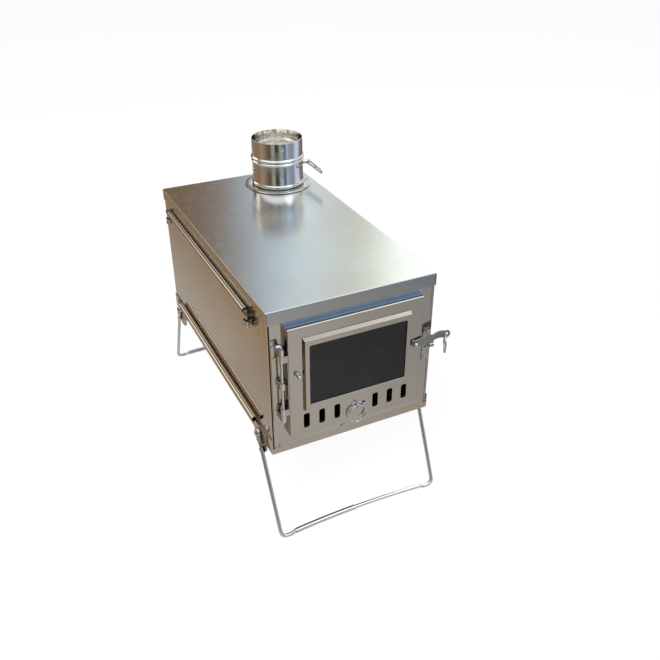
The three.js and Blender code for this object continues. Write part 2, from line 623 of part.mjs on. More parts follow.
function makeHinge() {
  const low = HINGE_TOP - HINGE_HEIGHT;
  const middle = (HINGE_TOP + low) / 2;
  const half = KNUCKLE_HEIGHT / 2;
  const plateY = [FRONT - GAP - SHEET, FRONT - GAP];
  const plateX = [HINGE_X - LEAF_WIDTH * 0.75, HINGE_X + LEAF_WIDTH * 0.25];
  const windowX = [HINGE_X - LEAF_WIDTH * 0.17, HINGE_X + LEAF_WIDTH * 0.12];
  const ends = [low + HINGE_LAND, HINGE_TOP - HINGE_LAND];
  const frameLevels = [[ends[1] - KNUCKLE_HEIGHT, ends[1]], [middle - half, middle + half],
    [ends[0], ends[0] + KNUCKLE_HEIGHT]];
  const frameWeb = [[HINGE_X - KNUCKLE_RADIUS, HINGE_X - KNUCKLE_RADIUS + SHEET], [HINGE_Y, FRONT - GAP]];
  const frameKnuckles = frameLevels.map((levels) => knuckle(levels, frameWeb));
  const windows = [[frameLevels[2][1] + HINGE_BRIDGE, frameLevels[1][0] - HINGE_BRIDGE],
    [frameLevels[1][1] + HINGE_BRIDGE, frameLevels[0][0] - HINGE_BRIDGE]];
  const openings = windows.map((z) => block(windowX, [plateY[0] - 1, plateY[1] + 1], z));
  const plate = cut(block(plateX, plateY, [low, HINGE_TOP]), ...openings);
  const rivetX = plateX[0] + RIVET_RADIUS + 0.6;
  const rivets = [0.14, 0.86].map((t) => (
    rivet([rivetX, plateY[0], low + t * HINGE_HEIGHT], 'front', RIVET_RADIUS * 0.8)));
  add('frame_hinge_leaf', join(plate, ...frameKnuckles, ...rivets), SHEET_METAL);

  const flange = [-DOOR_WIDTH / 2 - GAP - SHEET, -DOOR_WIDTH / 2 - GAP];
  const doorLevels = [[frameLevels[2][1] + GAP, frameLevels[2][1] + GAP + KNUCKLE_HEIGHT],
    [frameLevels[0][0] - GAP - KNUCKLE_HEIGHT, frameLevels[0][0] - GAP]];
  const webY = [HINGE_Y - KNUCKLE_RADIUS, HINGE_Y - KNUCKLE_RADIUS + SHEET];
  const doorKnuckles = doorLevels.map((levels) => knuckle(levels, [[HINGE_X, flange[1]], webY]));
  const doorZ = [doorLevels[0][0], doorLevels[1][1]];
  const doorPlate = block(flange, [webY[0], FRONT - 2 * GAP], doorZ);
  const rim = HINGE_RIM;
  const doorOpenings = [[doorLevels[0][1] + rim, middle - rim], [middle + rim, doorLevels[1][0] - rim]].map((z) => (
    block([flange[0] - 1, flange[1] + 1], [webY[1] + rim, FRONT - 2 * GAP - rim], z)));
  add('door_hinge_leaf', join(cut(doorPlate, ...doorOpenings), ...doorKnuckles), SHEET_METAL);

  const pin = bentPath([[HINGE_X, HINGE_Y, low - 1.5], [HINGE_X, HINGE_Y, HINGE_TOP + 1.5 + PIN_RADIUS],
    [HINGE_X - PIN_HOOK, HINGE_Y, HINGE_TOP + 1.5 + PIN_RADIUS]], 2);
  add('hinge_pin', wire(pin, PIN_RADIUS), BRIGHT);
}

// ---------------------------------------------------------------- latch
// The arm's outline about its pivot: a boss, a deep middle with a step and a curved tail.
function armShape() {
  const [near, far] = LATCH_SHOULDER;
  const turn = LATCH_REACH - LATCH_BOW;
  const shape = new THREE.Shape();
  shape.absarc(0, 0, LATCH_BOSS, Math.PI / 2, 1.5 * Math.PI, false);
  shape.lineTo(near, -LATCH_HEEL).lineTo(far, -LATCH_DEPTH).lineTo(far, LATCH_NECK[0]);
  const under = [LATCH_REACH - LATCH_TIP * 0.4, LATCH_RISE - LATCH_TIP * 0.94];
  shape.quadraticCurveTo(turn, LATCH_TAIL[0], ...under);
  shape.absarc(LATCH_REACH, LATCH_RISE, LATCH_TIP, -1.9, 1.9, false);
  shape.quadraticCurveTo(turn, LATCH_TAIL[1], far, LATCH_NECK[1]);
  for (const [u, v] of LATCH_HUMP) shape.lineTo(u, v);
  return shape;
}

function latchHole() {
  return [STUD_X + LATCH_REACH, (ARM_FRONT + ARM_BACK) / 2, STUD_Z + LATCH_RISE];
}

function splitRing() {
  return new THREE.TorusGeometry(RING_RADIUS, RING_WIRE, 8, 24);
}

function makeLatch() {
  const shape = armShape();
  shape.holes.push(circle(0, 0, STUD_SHANK + GAP), circle(LATCH_REACH, LATCH_RISE, LATCH_RING_HOLE));
  const arm = prism('y', shape, ARM_FRONT, ARM_BACK, 5).translate(STUD_X, 0, STUD_Z);
  add('latch_arm', arm, BRUSHED);
  const [x, y, z] = latchHole();
  const ring = splitRing().rotateY(Math.PI / 2).rotateZ((-LATCH_RING_YAW * Math.PI) / 180);
  add('latch_ring', ring.translate(x, y, z - LATCH_RING_HANG - RING_RADIUS), BRIGHT);

  const centre = STUD_X + CATCH_OUT;
  const strip = [centre - CATCH_WIDTH / 2, centre + CATCH_WIDTH / 2];
  const tongue = [centre - CATCH_TONGUE / 2, centre + CATCH_TONGUE / 2];
  const plateY = [FRONT - GAP - SHEET, FRONT - GAP];
  const lipY = [ARM_FRONT - GAP - SHEET, ARM_FRONT - GAP];
  const lipTop = STUD_Z - LATCH_DEPTH - GAP - 0.1;
  const shelf = [lipTop - CATCH_DROP - SHEET, lipTop - CATCH_DROP];
  const outline = rounded(strip, [STUD_Z - CATCH_BELOW, STUD_Z + CATCH_ABOVE], 0.8);
  outline.holes.push(circle(centre - CATCH_SKEW, STUD_Z - CATCH_HOLE_DROP, CATCH_HOLE));
  add('latch_catch', join(
    prism('y', outline, ...plateY, 5),
    block(tongue, [lipY[0], plateY[1]], shelf),
    block(tongue, lipY, [shelf[0], lipTop]),
    rivet([centre - CATCH_SKEW, plateY[0], STUD_Z - CATCH_RIVET_DROP], 'front'),
  ), BRUSHED);
}

// ---------------------------------------------------------------- air slider
function makeSlider() {
  const front = DOOR_FACE + SHEET + GAP;
  const y = [front, front + SHEET];
  const reach = SLOT_FIRST + (SLOTS_PER_SIDE - 1) * SLOT_PITCH + SLOT_WIDTH / 2 + SLIDER_LAP;
  const half = SLOT_HEIGHT / 2 + SLIDER_LAP;
  const z = [SLOT_Z - half, SLOT_Z + half];
  const plate = block([-reach - SLIDER_TRAVEL, reach], y, z);
  const stemZ = SLOT_Z + EYE_RISE;
  const stemX = [-STEM_WIDTH / 2, STEM_WIDTH / 2];
  const socket = block([stemX[0] - GAP, stemX[1] + GAP], [y[0] - 1, y[1] + 1],
    [stemZ - STEM_HEIGHT / 2 - GAP, stemZ + STEM_HEIGHT / 2 + GAP]);
  add('air_slider', cut(plate, socket, ...slotCutters([y[0] - 1, y[1] + 1])), BRUSHED);

  [-1, 1].forEach((side) => {
    const edge = SLOT_Z + side * (half + GAP);
    const foot = [edge, edge + side * RAIL_HEIGHT].sort((a, b) => a - b);
    const over = [edge - side * RAIL_LAP, edge + side * RAIL_HEIGHT].sort((a, b) => a - b);
    const x = [-reach - SLIDER_TRAVEL, reach + SLIDER_TRAVEL];
    const back = y[1] + GAP + SHEET;
    const rail = join(block(x, [y[0], back], foot), block(x, [back - SHEET, back], over));
    add(`${side < 0 ? 'lower' : 'upper'}_slider_rail`, rail, BRUSHED);
  });

  const plateY = [DOOR_FACE - GAP - SHEET, DOOR_FACE - GAP];
  const eyePlate = rounded([-EYE_PLATE_WIDTH / 2, EYE_PLATE_WIDTH / 2],
    [stemZ - EYE_PLATE_HEIGHT / 2, stemZ + EYE_PLATE_HEIGHT / 2], 1);
  const staple = new THREE.TorusGeometry(STAPLE_BORE + STAPLE_WIRE, STAPLE_WIRE, 8, 16).rotateY(Math.PI / 2);
  const stapleY = plateY[0] - STAPLE_BORE + 0.4;
  const clinched = [y[1] + GAP, y[1] + GAP + SHEET];
  const tail = block([-STEM_WIDTH, STEM_WIDTH], clinched, [stemZ - STEM_HEIGHT, stemZ + STEM_HEIGHT]);
  const stemY = [plateY[0], clinched[0] + SHEET / 4];
  const stem = block(stemX, stemY, [stemZ - STEM_HEIGHT / 2, stemZ + STEM_HEIGHT / 2]);
  const wide = EYE_PLATE_WIDTH;
  const behind = block([-wide, wide], [plateY[1], plateY[1] + wide], [stemZ - wide, stemZ + wide]);
  const loop = cut(staple.translate(0, stapleY, stemZ), behind);
  add('slider_eye', join(prism('y', eyePlate, ...plateY, 2), stem, tail, loop), BRIGHT);
  const hang = STAPLE_BORE - RING_WIRE - GAP;
  const ring = splitRing().rotateX(Math.PI / 2);
  add('slider_ring', ring.translate(0, stapleY, stemZ - hang - RING_RADIUS), BRIGHT);
}

// ---------------------------------------------------------------- flue and damper
function makeFlue() {
  const disc = circle(FLUE_X, FLUE_Y, FLANGE_RADIUS);
  disc.holes.push(circle(FLUE_X, FLUE_Y, FLUE_RADIUS + GAP));
  const seat = TOP + GAP;
  const rivets = Array.from({ length: FLANGE_RIVETS }, (_, i) => {
    const angle = ((i + 0.5) / FLANGE_RIVETS) * 2 * Math.PI + 0.6;
    const x = FLUE_X + FLANGE_RIVET_CIRCLE * Math.cos(angle);
    const y = FLUE_Y + FLANGE_RIVET_CIRCLE * Math.sin(angle);
    return rivet([x, y, seat + SHEET], 'up');
  });
  add('flue_flange', join(prism('z', disc, seat, seat + SHEET, 20), ...rivets), LID_METAL);

  const bump = [0, 0.25, 0.5, 0.75, 1];
  const outer = [[FLUE_RADIUS, -FLUE_TUCK]];
  for (const [level, height, rise] of BEADS) {
    for (const t of bump) {
      outer.push([FLUE_RADIUS + rise * Math.sin(Math.PI * t) ** 2, level + (t - 0.5) * height]);
    }
  }
  outer.push([FLUE_RADIUS, FLUE_HEIGHT]);
  const bore = FLUE_RADIUS - FLUE_WALL;
  const profile = [...outer, [bore, FLUE_HEIGHT], [bore, -FLUE_TUCK], outer[0]];
  const wall = turned(profile, 40).translate(FLUE_X, FLUE_Y, TOP);
  const z = TOP + DAMPER_RISE;
  const across = [FLUE_X - 2 * FLUE_RADIUS, FLUE_X + 2 * FLUE_RADIUS];
  const bearing = rod('x', FLUE_Y, z, SHAFT_RADIUS + GAP, ...across, 12);
  add('flue_collar', cut(wall, bearing), BRIGHT);
}

function makeDamper() {
  const z = TOP + DAMPER_RISE;
  const under = z - SHAFT_RADIUS - GAP;
  const radius = FLUE_RADIUS - FLUE_WALL - DAMPER_CLEARANCE;
  const plate = rod('z', FLUE_X, FLUE_Y, radius, under - DAMPER_THICKNESS, under, 28);
  add('damper_plate', plate, BRUSHED);
  const wallOut = FLUE_RADIUS + GAP;
  const hub = [FLUE_X + FLUE_RADIUS + BEAD_PROUD + 1, 0];
  hub[1] = hub[0] + HUB_LENGTH;
  add('damper_shaft', join(
    rod('x', FLUE_Y, z, SHAFT_RADIUS, FLUE_X - wallOut - 1, hub[1] + SHAFT_HEAD, 12),
    rod('x', FLUE_Y, z, SHAFT_RADIUS + SHAFT_HEAD, FLUE_X - wallOut - SHAFT_HEAD, FLUE_X - wallOut, 12),
  ), BRIGHT);
  const x = hub[1] - HANDLE_WIRE - GAP;
  const half = HANDLE_WIDTH / 2;
  const tip = half * 0.9;
  const corners = [[x, 0, half], [x, -HANDLE_LENGTH, tip], [x, -HANDLE_LENGTH, -tip], [x, 0, -half]];
  const loop = wire(bentPath(corners, half * 0.85, 4), HANDLE_WIRE, 8);
  const tilted = toSolid(loop).rotate([-HANDLE_TILT, 0, 0]).translate([0, FLUE_Y, z]);
  add('damper_handle', cut(
    join(rod('x', FLUE_Y, z, HUB_RADIUS, ...hub, 14), tilted),
    rod('x', FLUE_Y, z, SHAFT_RADIUS + GAP, hub[0] - 1, hub[1] + 1, 12),
  ), BRIGHT);
}

// ---------------------------------------------------------------- lid clamps
// A thumb nut: a flange on top and a scalloped grip below it, bored for the bolt.
function nutGeometry() {
  const grip = new THREE.Shape();
  const steps = NUT_LOBES * 2;
  for (let i = 0; i < steps; i += 1) {
    const radius = NUT_GRIP - (i % 2 ? NUT_SCALLOP : 0);
    const angle = (i / steps) * 2 * Math.PI;
    grip[i ? 'lineTo' : 'moveTo'](radius * Math.cos(angle), radius * Math.sin(angle));
  }
  const flange = rod('z', 0, 0, NUT_RADIUS, -1, 0, 20);
  const body = join(flange, prism('z', grip, -NUT_HEIGHT, -0.9));
  return toGeometry(cut(body, rod('z', 0, 0, BOLT_RADIUS + GAP, -NUT_HEIGHT - 1, 1, 10)));
}

// A swing bolt about its eye's centre: the eye lies along Y and the shank hangs down.
function swingBoltGeometry() {
  const eye = rod('y', 0, 0, CLAMP_ROD + GAP + CLAMP_EYE_WALL, -CLAMP_EYE_WIDTH / 2, CLAMP_EYE_WIDTH / 2, 16);
  const shank = rod('z', 0, 0, BOLT_RADIUS, -BOLT_LENGTH, 0, 10);
  const bore = rod('y', 0, 0, CLAMP_ROD + GAP, -CLAMP_EYE_WIDTH, CLAMP_EYE_WIDTH, 12);
  return toGeometry(cut(join(eye, shank), bore));
}

function makeClamps() {
  const bolt = swingBoltGeometry();
  const nut = nutGeometry();
  const tabTop = LID_HEM_Z - NUT_DROP + GAP + TAB_THICKNESS;
  for (const side of [-1, 1]) {
    const name = side < 0 ? 'left' : 'right';
    const reach = CLAMP_EYE_WIDTH / 2 + 1.2;
    const span = [CLAMP_Y[0] - reach, CLAMP_Y[1] + reach];
    const shaft = rod('y', side * HEM_X, LID_HEM_Z, CLAMP_ROD, ...span, 12);
    const heads = [rod('y', side * HEM_X, LID_HEM_Z, CLAMP_ROD + 0.8, span[0], span[0] + 0.8, 12),
      rod('y', side * HEM_X, LID_HEM_Z, CLAMP_ROD + 0.8, span[1] - 0.8, span[1], 12)];
    add(`${name}_clamp_rod`, join(shaft, ...heads), BRIGHT);
    CLAMP_Y.forEach((y, end) => {
      const place = `${end ? 'rear' : 'front'}_${name}`;
      add(`${place}_swing_bolt`, bolt, BRIGHT).position.set(side * HEM_X, y, LID_HEM_Z);
      add(`${place}_clamp_nut`, nut, BRIGHT).position.set(side * HEM_X, y, LID_HEM_Z - NUT_DROP);
      const across = [y - TAB_WIDTH / 2, y + TAB_WIDTH / 2];
      const plateX = [SIDE + GAP, SIDE + GAP + TAB_PLATE].map((x) => side * x).sort((a, b) => a - b);
      const tip = HEM_X + TAB_REACH;
      const root = SIDE + GAP;
      const corner = 2.4;
      const tab = polygon([[root, across[0]], [tip - corner, across[0]], [tip, across[0] + corner],
        [tip, across[1] - corner], [tip - corner, across[1]], [root, across[1]]]);
      const slot = BOLT_RADIUS + GAP;
      const tabSolid = cut(prism('z', tab, tabTop - TAB_THICKNESS, tabTop),
        block([HEM_X - slot, tip + 1], [y - slot, y + slot], [tabTop - 3, tabTop + 3]));
      const placed = side > 0 ? tabSolid : tabSolid.mirror([1, 0, 0]);
      const plate = block(plateX, across, [tabTop - TAB_THICKNESS, tabTop + TAB_PLATE_HEIGHT]);
      add(`${place}_clamp_tab`, join(plate, placed), SHEET_METAL);
    });
  }
}

// ---------------------------------------------------------------- legs
const LEG_DROP = PIVOT_Z - WIRE + FOOT_FLAT;
const LEAN = Math.atan2(FOOT_Y - LEG_PIVOT_Y, LEG_DROP);
const LEG_LENGTH = Math.hypot(FOOT_Y - LEG_PIVOT_Y, LEG_DROP);
const FOOT_X = LEG_X - FOOT_INSET;
const KINK_END = FOOT_LENGTH + KINK_LENGTH;

// A point of a leg: x across, `down` the leg from its pivot.
function legPoint(end, x, down) {
  return [x, end * (LEG_PIVOT_Y + down * Math.sin(LEAN)), PIVOT_Z - down * Math.cos(LEAN)];
}

// A point of the floor bar: level at the foot, a short kink up, then a slow rise to the middle.
function barPoint(end, x) {
  const inward = FOOT_X - Math.abs(x);
  const kink = THREE.MathUtils.clamp((inward - FOOT_LENGTH) / KINK_LENGTH, 0, 1);
  const bow = THREE.MathUtils.clamp((inward - KINK_END) / (FOOT_X - KINK_END), 0, 1);
  return legPoint(end, x, LEG_LENGTH - kink * KINK_RISE - bow * (BAR_RISE - KINK_RISE));
}

// One leg is two J-shaped wires whose floor ends meet inside a sleeve.
function makeLeg(end) {
  const name = end < 0 ? 'front_leg' : 'rear_leg';
  const sleeveX = [KINK_END + SLEEVE_MARGIN - FOOT_X, -SLEEVE_END];
  const meet = THREE.MathUtils.lerp(...sleeveX, SLEEVE_SHARE);
  const floor = block([-WIDTH, WIDTH], [-LENGTH, LENGTH], [-GROUND, 0]);
  const bore = rod('x', end * LEG_PIVOT_Y, PIVOT_Z, PIVOT_RADIUS + GAP, -WIDTH, WIDTH, 12);
  const half = (side, last) => {
    const top = legPoint(end, side * LEG_X, EYE_RADIUS - 1.5);
    const corner = legPoint(end, side * FOOT_X, LEG_LENGTH);
    const foot = barPoint(end, side * (FOOT_X - FOOT_LENGTH));
    const rest = [side * (FOOT_X - KINK_END), ...last].map((x) => new THREE.Vector3(...barPoint(end, x)));
    const knots = [...bentPath([top, corner, foot], LEG_BEND), ...rest];
    const eyeX = [side * (LEG_X - WIRE), side * (LEG_X + WIRE)].sort((a, b) => a - b);
    const eye = rod('x', end * LEG_PIVOT_Y, PIVOT_Z, EYE_RADIUS, ...eyeX, 16);
    return cut(join(wire(knots, WIRE), eye), bore, floor);
  };
  add(`${name}_left`, half(-1, [meet - GAP / 2]), WIRE_METAL);
  add(`${name}_right`, half(1, [sleeveX[1], meet + GAP / 2]), WIRE_METAL);
  const extrudePath = new KnotPath(sleeveX.map((x) => new THREE.Vector3(...barPoint(end, x))));
  const ring = circle(0, 0, WIRE + GAP + SLEEVE_WALL);
  ring.holes.push(circle(0, 0, WIRE + GAP));
  add(`${name}_sleeve`, new THREE.ExtrudeGeometry(ring, { steps: 1, extrudePath, curveSegments: 6 }), WIRE_METAL);
}

// Ear plate outside the tray's lip, with the leg's pivot stud and the stop it leans on.
function makeEar(side, end) {
  const y = (offset) => end * (LEG_PIVOT_Y + offset);
  const low = GROUND - EAR_BELOW;
  const high = TRAY_HEM_Z - HEM_RADIUS - 2 * GAP;
  const half = EAR_WIDTH / 2;
  const points = [[y(-half), high], [y(half), high], [y(half), GROUND - 2], [y(half * 0.45), low],
    [y(-half * 0.4), low], [y(-half), GROUND - 2]];
  const outline = polygon(end > 0 ? points : points.reverse());
  const plate = prism('x', outline, EAR_X, EAR_X + EAR_THICKNESS);
  const tip = LEG_X + WIRE + GAP;
  const stud = rod('x', y(0), PIVOT_Z, PIVOT_RADIUS, EAR_X + 0.2, tip + 0.5, 12);
  const head = rod('x', y(0), PIVOT_Z, PIVOT_HEAD, tip, tip + 1.4, 14);
  const down = 16;
  const away = WIRE + GAP + 0.7;
  const stopY = y(down * Math.sin(LEAN) + away * Math.cos(LEAN));
  const stopZ = PIVOT_Z - down * Math.cos(LEAN) + away * Math.sin(LEAN);
  const stop = block([EAR_X + 0.2, LEG_X], [-0.7, 0.7], [-2.5, 2.5]);
  stop.rotateX(end * LEAN).translate(0, stopY, stopZ);
  const ear = join(plate, stud, head, stop);
  add(`${end < 0 ? 'front' : 'rear'}_${side < 0 ? 'left' : 'right'}_leg_bracket`,
    side > 0 ? ear : ear.mirror([1, 0, 0]), SHEET_METAL);
}

// ---------------------------------------------------------------- the stove
makeLid();
makeTray();
makeWalls();
makeGrate();
makeDoor();
makeWindow();
makeStuds();
makeHinge();
makeLatch();
makeSlider();
makeFlue();
makeDamper();
makeClamps();
for (const end of [-1, 1]) {
  makeLeg(end);
  for (const side of [-1, 1]) makeEar(side, end);
}

// The origin is the bottom centre of the whole stove's box.
const bounds = new THREE.Box3().setFromObject(stove);
const centre = bounds.getCenter(new THREE.Vector3());
stove.position.set(-centre.x, -centre.y, -bounds.min.z);

export default stove;
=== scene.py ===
"""Dresses a packed tent wood stove: bright folded sheet, split rings, clamps, flue and wire legs.

Laid out as an add-on: sizes and colours are properties, each group of pieces is an operator and a
panel in the 3D view's sidebar lists them. The frame is in metres; `mm` turns millimetres into it.
"""
import json
import math

import bmesh
import bpy
from bpy.props import FloatProperty, FloatVectorProperty, IntProperty, PointerProperty
from mathutils import Matrix, Vector


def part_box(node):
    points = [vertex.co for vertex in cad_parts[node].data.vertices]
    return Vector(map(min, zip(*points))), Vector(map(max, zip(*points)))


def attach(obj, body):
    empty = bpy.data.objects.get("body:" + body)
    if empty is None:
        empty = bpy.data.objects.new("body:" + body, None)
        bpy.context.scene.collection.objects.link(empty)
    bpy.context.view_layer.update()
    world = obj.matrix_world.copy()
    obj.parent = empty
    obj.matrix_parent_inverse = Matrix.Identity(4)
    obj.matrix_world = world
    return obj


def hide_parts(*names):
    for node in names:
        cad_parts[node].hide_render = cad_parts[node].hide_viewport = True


bl_info = {
    "name": "Tent stove dressing",
    "version": (1, 0, 0),
    "blender": (4, 5, 0),
    "location": "View3D > Sidebar > Stove",
    "description": "Builds the visible pieces, finishes and stage of a folding tent wood stove",
    "category": "Object",
}

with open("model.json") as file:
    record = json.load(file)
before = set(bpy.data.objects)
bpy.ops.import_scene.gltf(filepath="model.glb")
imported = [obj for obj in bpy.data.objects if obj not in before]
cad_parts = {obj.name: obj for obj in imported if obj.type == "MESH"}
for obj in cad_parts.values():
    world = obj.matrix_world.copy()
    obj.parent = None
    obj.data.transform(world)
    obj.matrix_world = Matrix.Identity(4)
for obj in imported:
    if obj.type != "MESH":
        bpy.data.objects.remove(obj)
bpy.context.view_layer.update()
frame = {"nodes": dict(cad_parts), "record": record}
MM = 0.001
LID_LOW, LID_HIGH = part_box("lid")
MIDDLE = (LID_LOW.x + LID_HIGH.x) / 2
TOP = LID_HIGH.z
BODY_OF = {}
for _body, _members in frame["record"]["behaviour"]["bodies"].items():
    for _member in _members:
        BODY_OF[_member] = _body


def mm(*values):
    """A point or a length given in millimetres."""
    return Vector(values) * MM if len(values) > 1 else values[0] * MM


def mm_points(points):
    """Points given in millimetres, as tuples."""
    return [tuple(value * MM for value in point) for point in points]


def centre(node):
    """The middle of a node's box."""
    low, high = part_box(node)
    return (low + high) / 2


# ---------------------------------------------------------------- sizes and colours
COLOUR = {"subtype": "COLOR", "size": 4, "min": 0, "max": 1}


class StoveSizes(bpy.types.PropertyGroup):
    """Sizes of the details that the frame leaves plain."""

    edge: FloatProperty(
        name="Sheet edge", description="Rounding of a cut sheet edge", default=mm(0.16), unit="LENGTH"
    )
    rivet_radius: FloatProperty(
        name="Rivet radius", description="Radius of a rivet head", default=mm(1.95), unit="LENGTH"
    )
    rivet_rise: FloatProperty(
        name="Rivet rise", description="Height of a rivet head's crown", default=mm(1.15), unit="LENGTH"
    )
    thread_pitch: FloatProperty(
        name="Thread pitch", description="Rise of the clamp bolts' thread in a turn", default=mm(0.7), unit="LENGTH"
    )
    knurls: IntProperty(name="Nut scallops", description="Scallops round a thumb nut", default=8, min=5, max=24)
    coil_wire: FloatProperty(
        name="Ring wire", description="Radius of a split ring's wire", default=mm(0.56), unit="LENGTH"
    )


class StoveColours(bpy.types.PropertyGroup):
    """Colours of the finishes, in linear light."""

    wall: FloatVectorProperty(
        name="Wall sheet", description="Bright sheet of the front and door",
        default=(0.50, 0.46, 0.41, 1), **COLOUR,
    )
    # Painted reflection, in part: a warmer copy of the sheet on faces that point sideways, for the warm floor they
    # mirror.
    side: FloatVectorProperty(
        name="Side sheet", description="Warmer sheet of the long walls",
        default=(0.47, 0.38, 0.285, 1), **COLOUR,
    )
    # Painted reflection: a cooler, lighter copy of the sheet on faces that point up, for the sky they mirror.
    lid: FloatVectorProperty(
        name="Lid sheet", description="Cool sheet of the lid",
        default=(0.66, 0.70, 0.71, 1), **COLOUR,
    )
    # Painted shade and reflection: a darker copy of the wall sheet on faces that point sideways.
    flank: FloatVectorProperty(
        name="Folded flanks", description="Side faces of the door, the window frame and the front",
        default=(0.34, 0.32, 0.29, 1), **COLOUR,
    )
    # Painted reflection: a bluish copy of the wall sheet on faces that point up, for the sky.
    ledge: FloatVectorProperty(
        name="Folded ledges", description="Upper faces of the door and the window frame",
        default=(0.46, 0.53, 0.62, 1), **COLOUR,
    )
    # Painted shade: a darker copy of the lid's sheet on its faces that point neither up nor sideways.
    lip: FloatVectorProperty(
        name="Lid lip", description="Front lip of the lid",
        default=(0.385, 0.405, 0.40, 1), **COLOUR,
    )
    heat: FloatVectorProperty(
        name="Heat tint", description="Straw tint that heat leaves",
        default=(0.50, 0.38, 0.26, 1), **COLOUR,
    )
    chrome: FloatVectorProperty(
        name="Bright fittings", description="Polished wire, rings, bolts and nuts",
        default=(0.70, 0.70, 0.71, 1), **COLOUR,
    )
    satin: FloatVectorProperty(
        name="Satin fittings", description="Brushed latch parts",
        default=(0.31, 0.30, 0.28, 1), **COLOUR,
    )
    bore: FloatVectorProperty(
        name="Flue bore", description="Ash-dusted metal inside the flue",
        default=(0.95, 0.93, 0.88, 1), **COLOUR,
    )
    # Painted shade and dark reflection: a near-black for clamp tabs, rod ends, bolt eyes, nut flange tops and stud
    # hollows that sit in shade.
    dark: FloatVectorProperty(
        name="Shade-dark steel", description="Clamp tabs and rod ends",
        default=(0.11, 0.08, 0.06, 1), **COLOUR,
    )
    soot: FloatVectorProperty(
        name="Inner steel", description="Sooted grate and rails",
        default=(0.10, 0.09, 0.08, 1), **COLOUR,
    )


class StoveStage(bpy.types.PropertyGroup):
    """Floor and light of the stage."""

    floor: FloatVectorProperty(
        name="Floor", description="Colour of the floor",
        default=(0.80, 0.80, 0.80, 1), **COLOUR,
    )
    shadow: FloatProperty(
        name="Shadow", description="How much of the floor's own shade the camera sees",
        default=0.16, min=0, max=1, subtype="FACTOR",
    )
    fill: FloatProperty(name="Fill", description="Strength of the light from all round", default=0.25, min=0, max=2)
    key: FloatProperty(name="Key", description="Power of the large soft lamp", default=52.0, unit="POWER")


# ---------------------------------------------------------------- node helpers
def put(tree, kind, sockets=None, **settings):
    """Adds a node. A socket takes a value or another node's output."""
    made = tree.nodes.new(kind)
    for name, value in settings.items():
        setattr(made, name, value)
    for key, value in (sockets or {}).items():
        if isinstance(value, bpy.types.NodeSocket):
            tree.links.new(value, made.inputs[key])
        else:
            made.inputs[key].default_value = value
    return made


def arithmetic(tree, operation, *values):
    """A math node's output for one to three values."""
    return put(tree, "ShaderNodeMath", dict(enumerate(values)), operation=operation).outputs[0]


def spread(tree, value, low, high, out_low=0.0, out_high=1.0):
    """Eases a value from one range to another."""
    made = put(
        tree, "ShaderNodeMapRange",
        {"Value": value, "From Min": low, "From Max": high, "To Min": out_low, "To Max": out_high},
        interpolation_type="SMOOTHSTEP",
    )
    return made.outputs["Result"]


def blended(tree, share, first, second, blend_type="MIX"):
    """A colour between two others."""
    made = put(tree, "ShaderNodeMix", data_type="RGBA", blend_type=blend_type)
    for key, value in (("Factor_Float", share), ("A_Color", first), ("B_Color", second)):
        socket = next(s for s in made.inputs if s.identifier == key)
        if isinstance(value, bpy.types.NodeSocket):
            tree.links.new(value, socket)
        else:
            socket.default_value = value
    return next(s for s in made.outputs if s.identifier == "Result_Color")


def noise(tree, vector, scale, detail=2.0, roughness=0.5):
    """Smooth noise from 0 to 1."""
    sockets = {"Vector": vector, "Scale": scale, "Detail": detail, "Roughness": roughness}
    return put(tree, "ShaderNodeTexNoise", sockets).outputs["Fac"]


def dot(tree, first, second):
    """The dot product of two vectors."""
    return put(tree, "ShaderNodeVectorMath", {0: first, 1: second}, operation="DOT_PRODUCT").outputs["Value"]


def output(tree, kind, sockets=None, **settings):
    """A new node's first output."""
    return put(tree, kind, sockets, **settings).outputs[0]


def group_of(name, inputs, outputs, kind="ShaderNodeTree"):
    """A node group with named sockets: (tree, its given values, output node)."""
    tree = bpy.data.node_groups.new(name, kind)
    for label, socket, default in inputs:
        made = tree.interface.new_socket(label, in_out="INPUT", socket_type=socket)
        if default is not None:
            made.default_value = default
    for label, socket in outputs:
        tree.interface.new_socket(label, in_out="OUTPUT", socket_type=socket)
    return tree, tree.nodes.new("NodeGroupInput").outputs, tree.nodes.new("NodeGroupOutput")


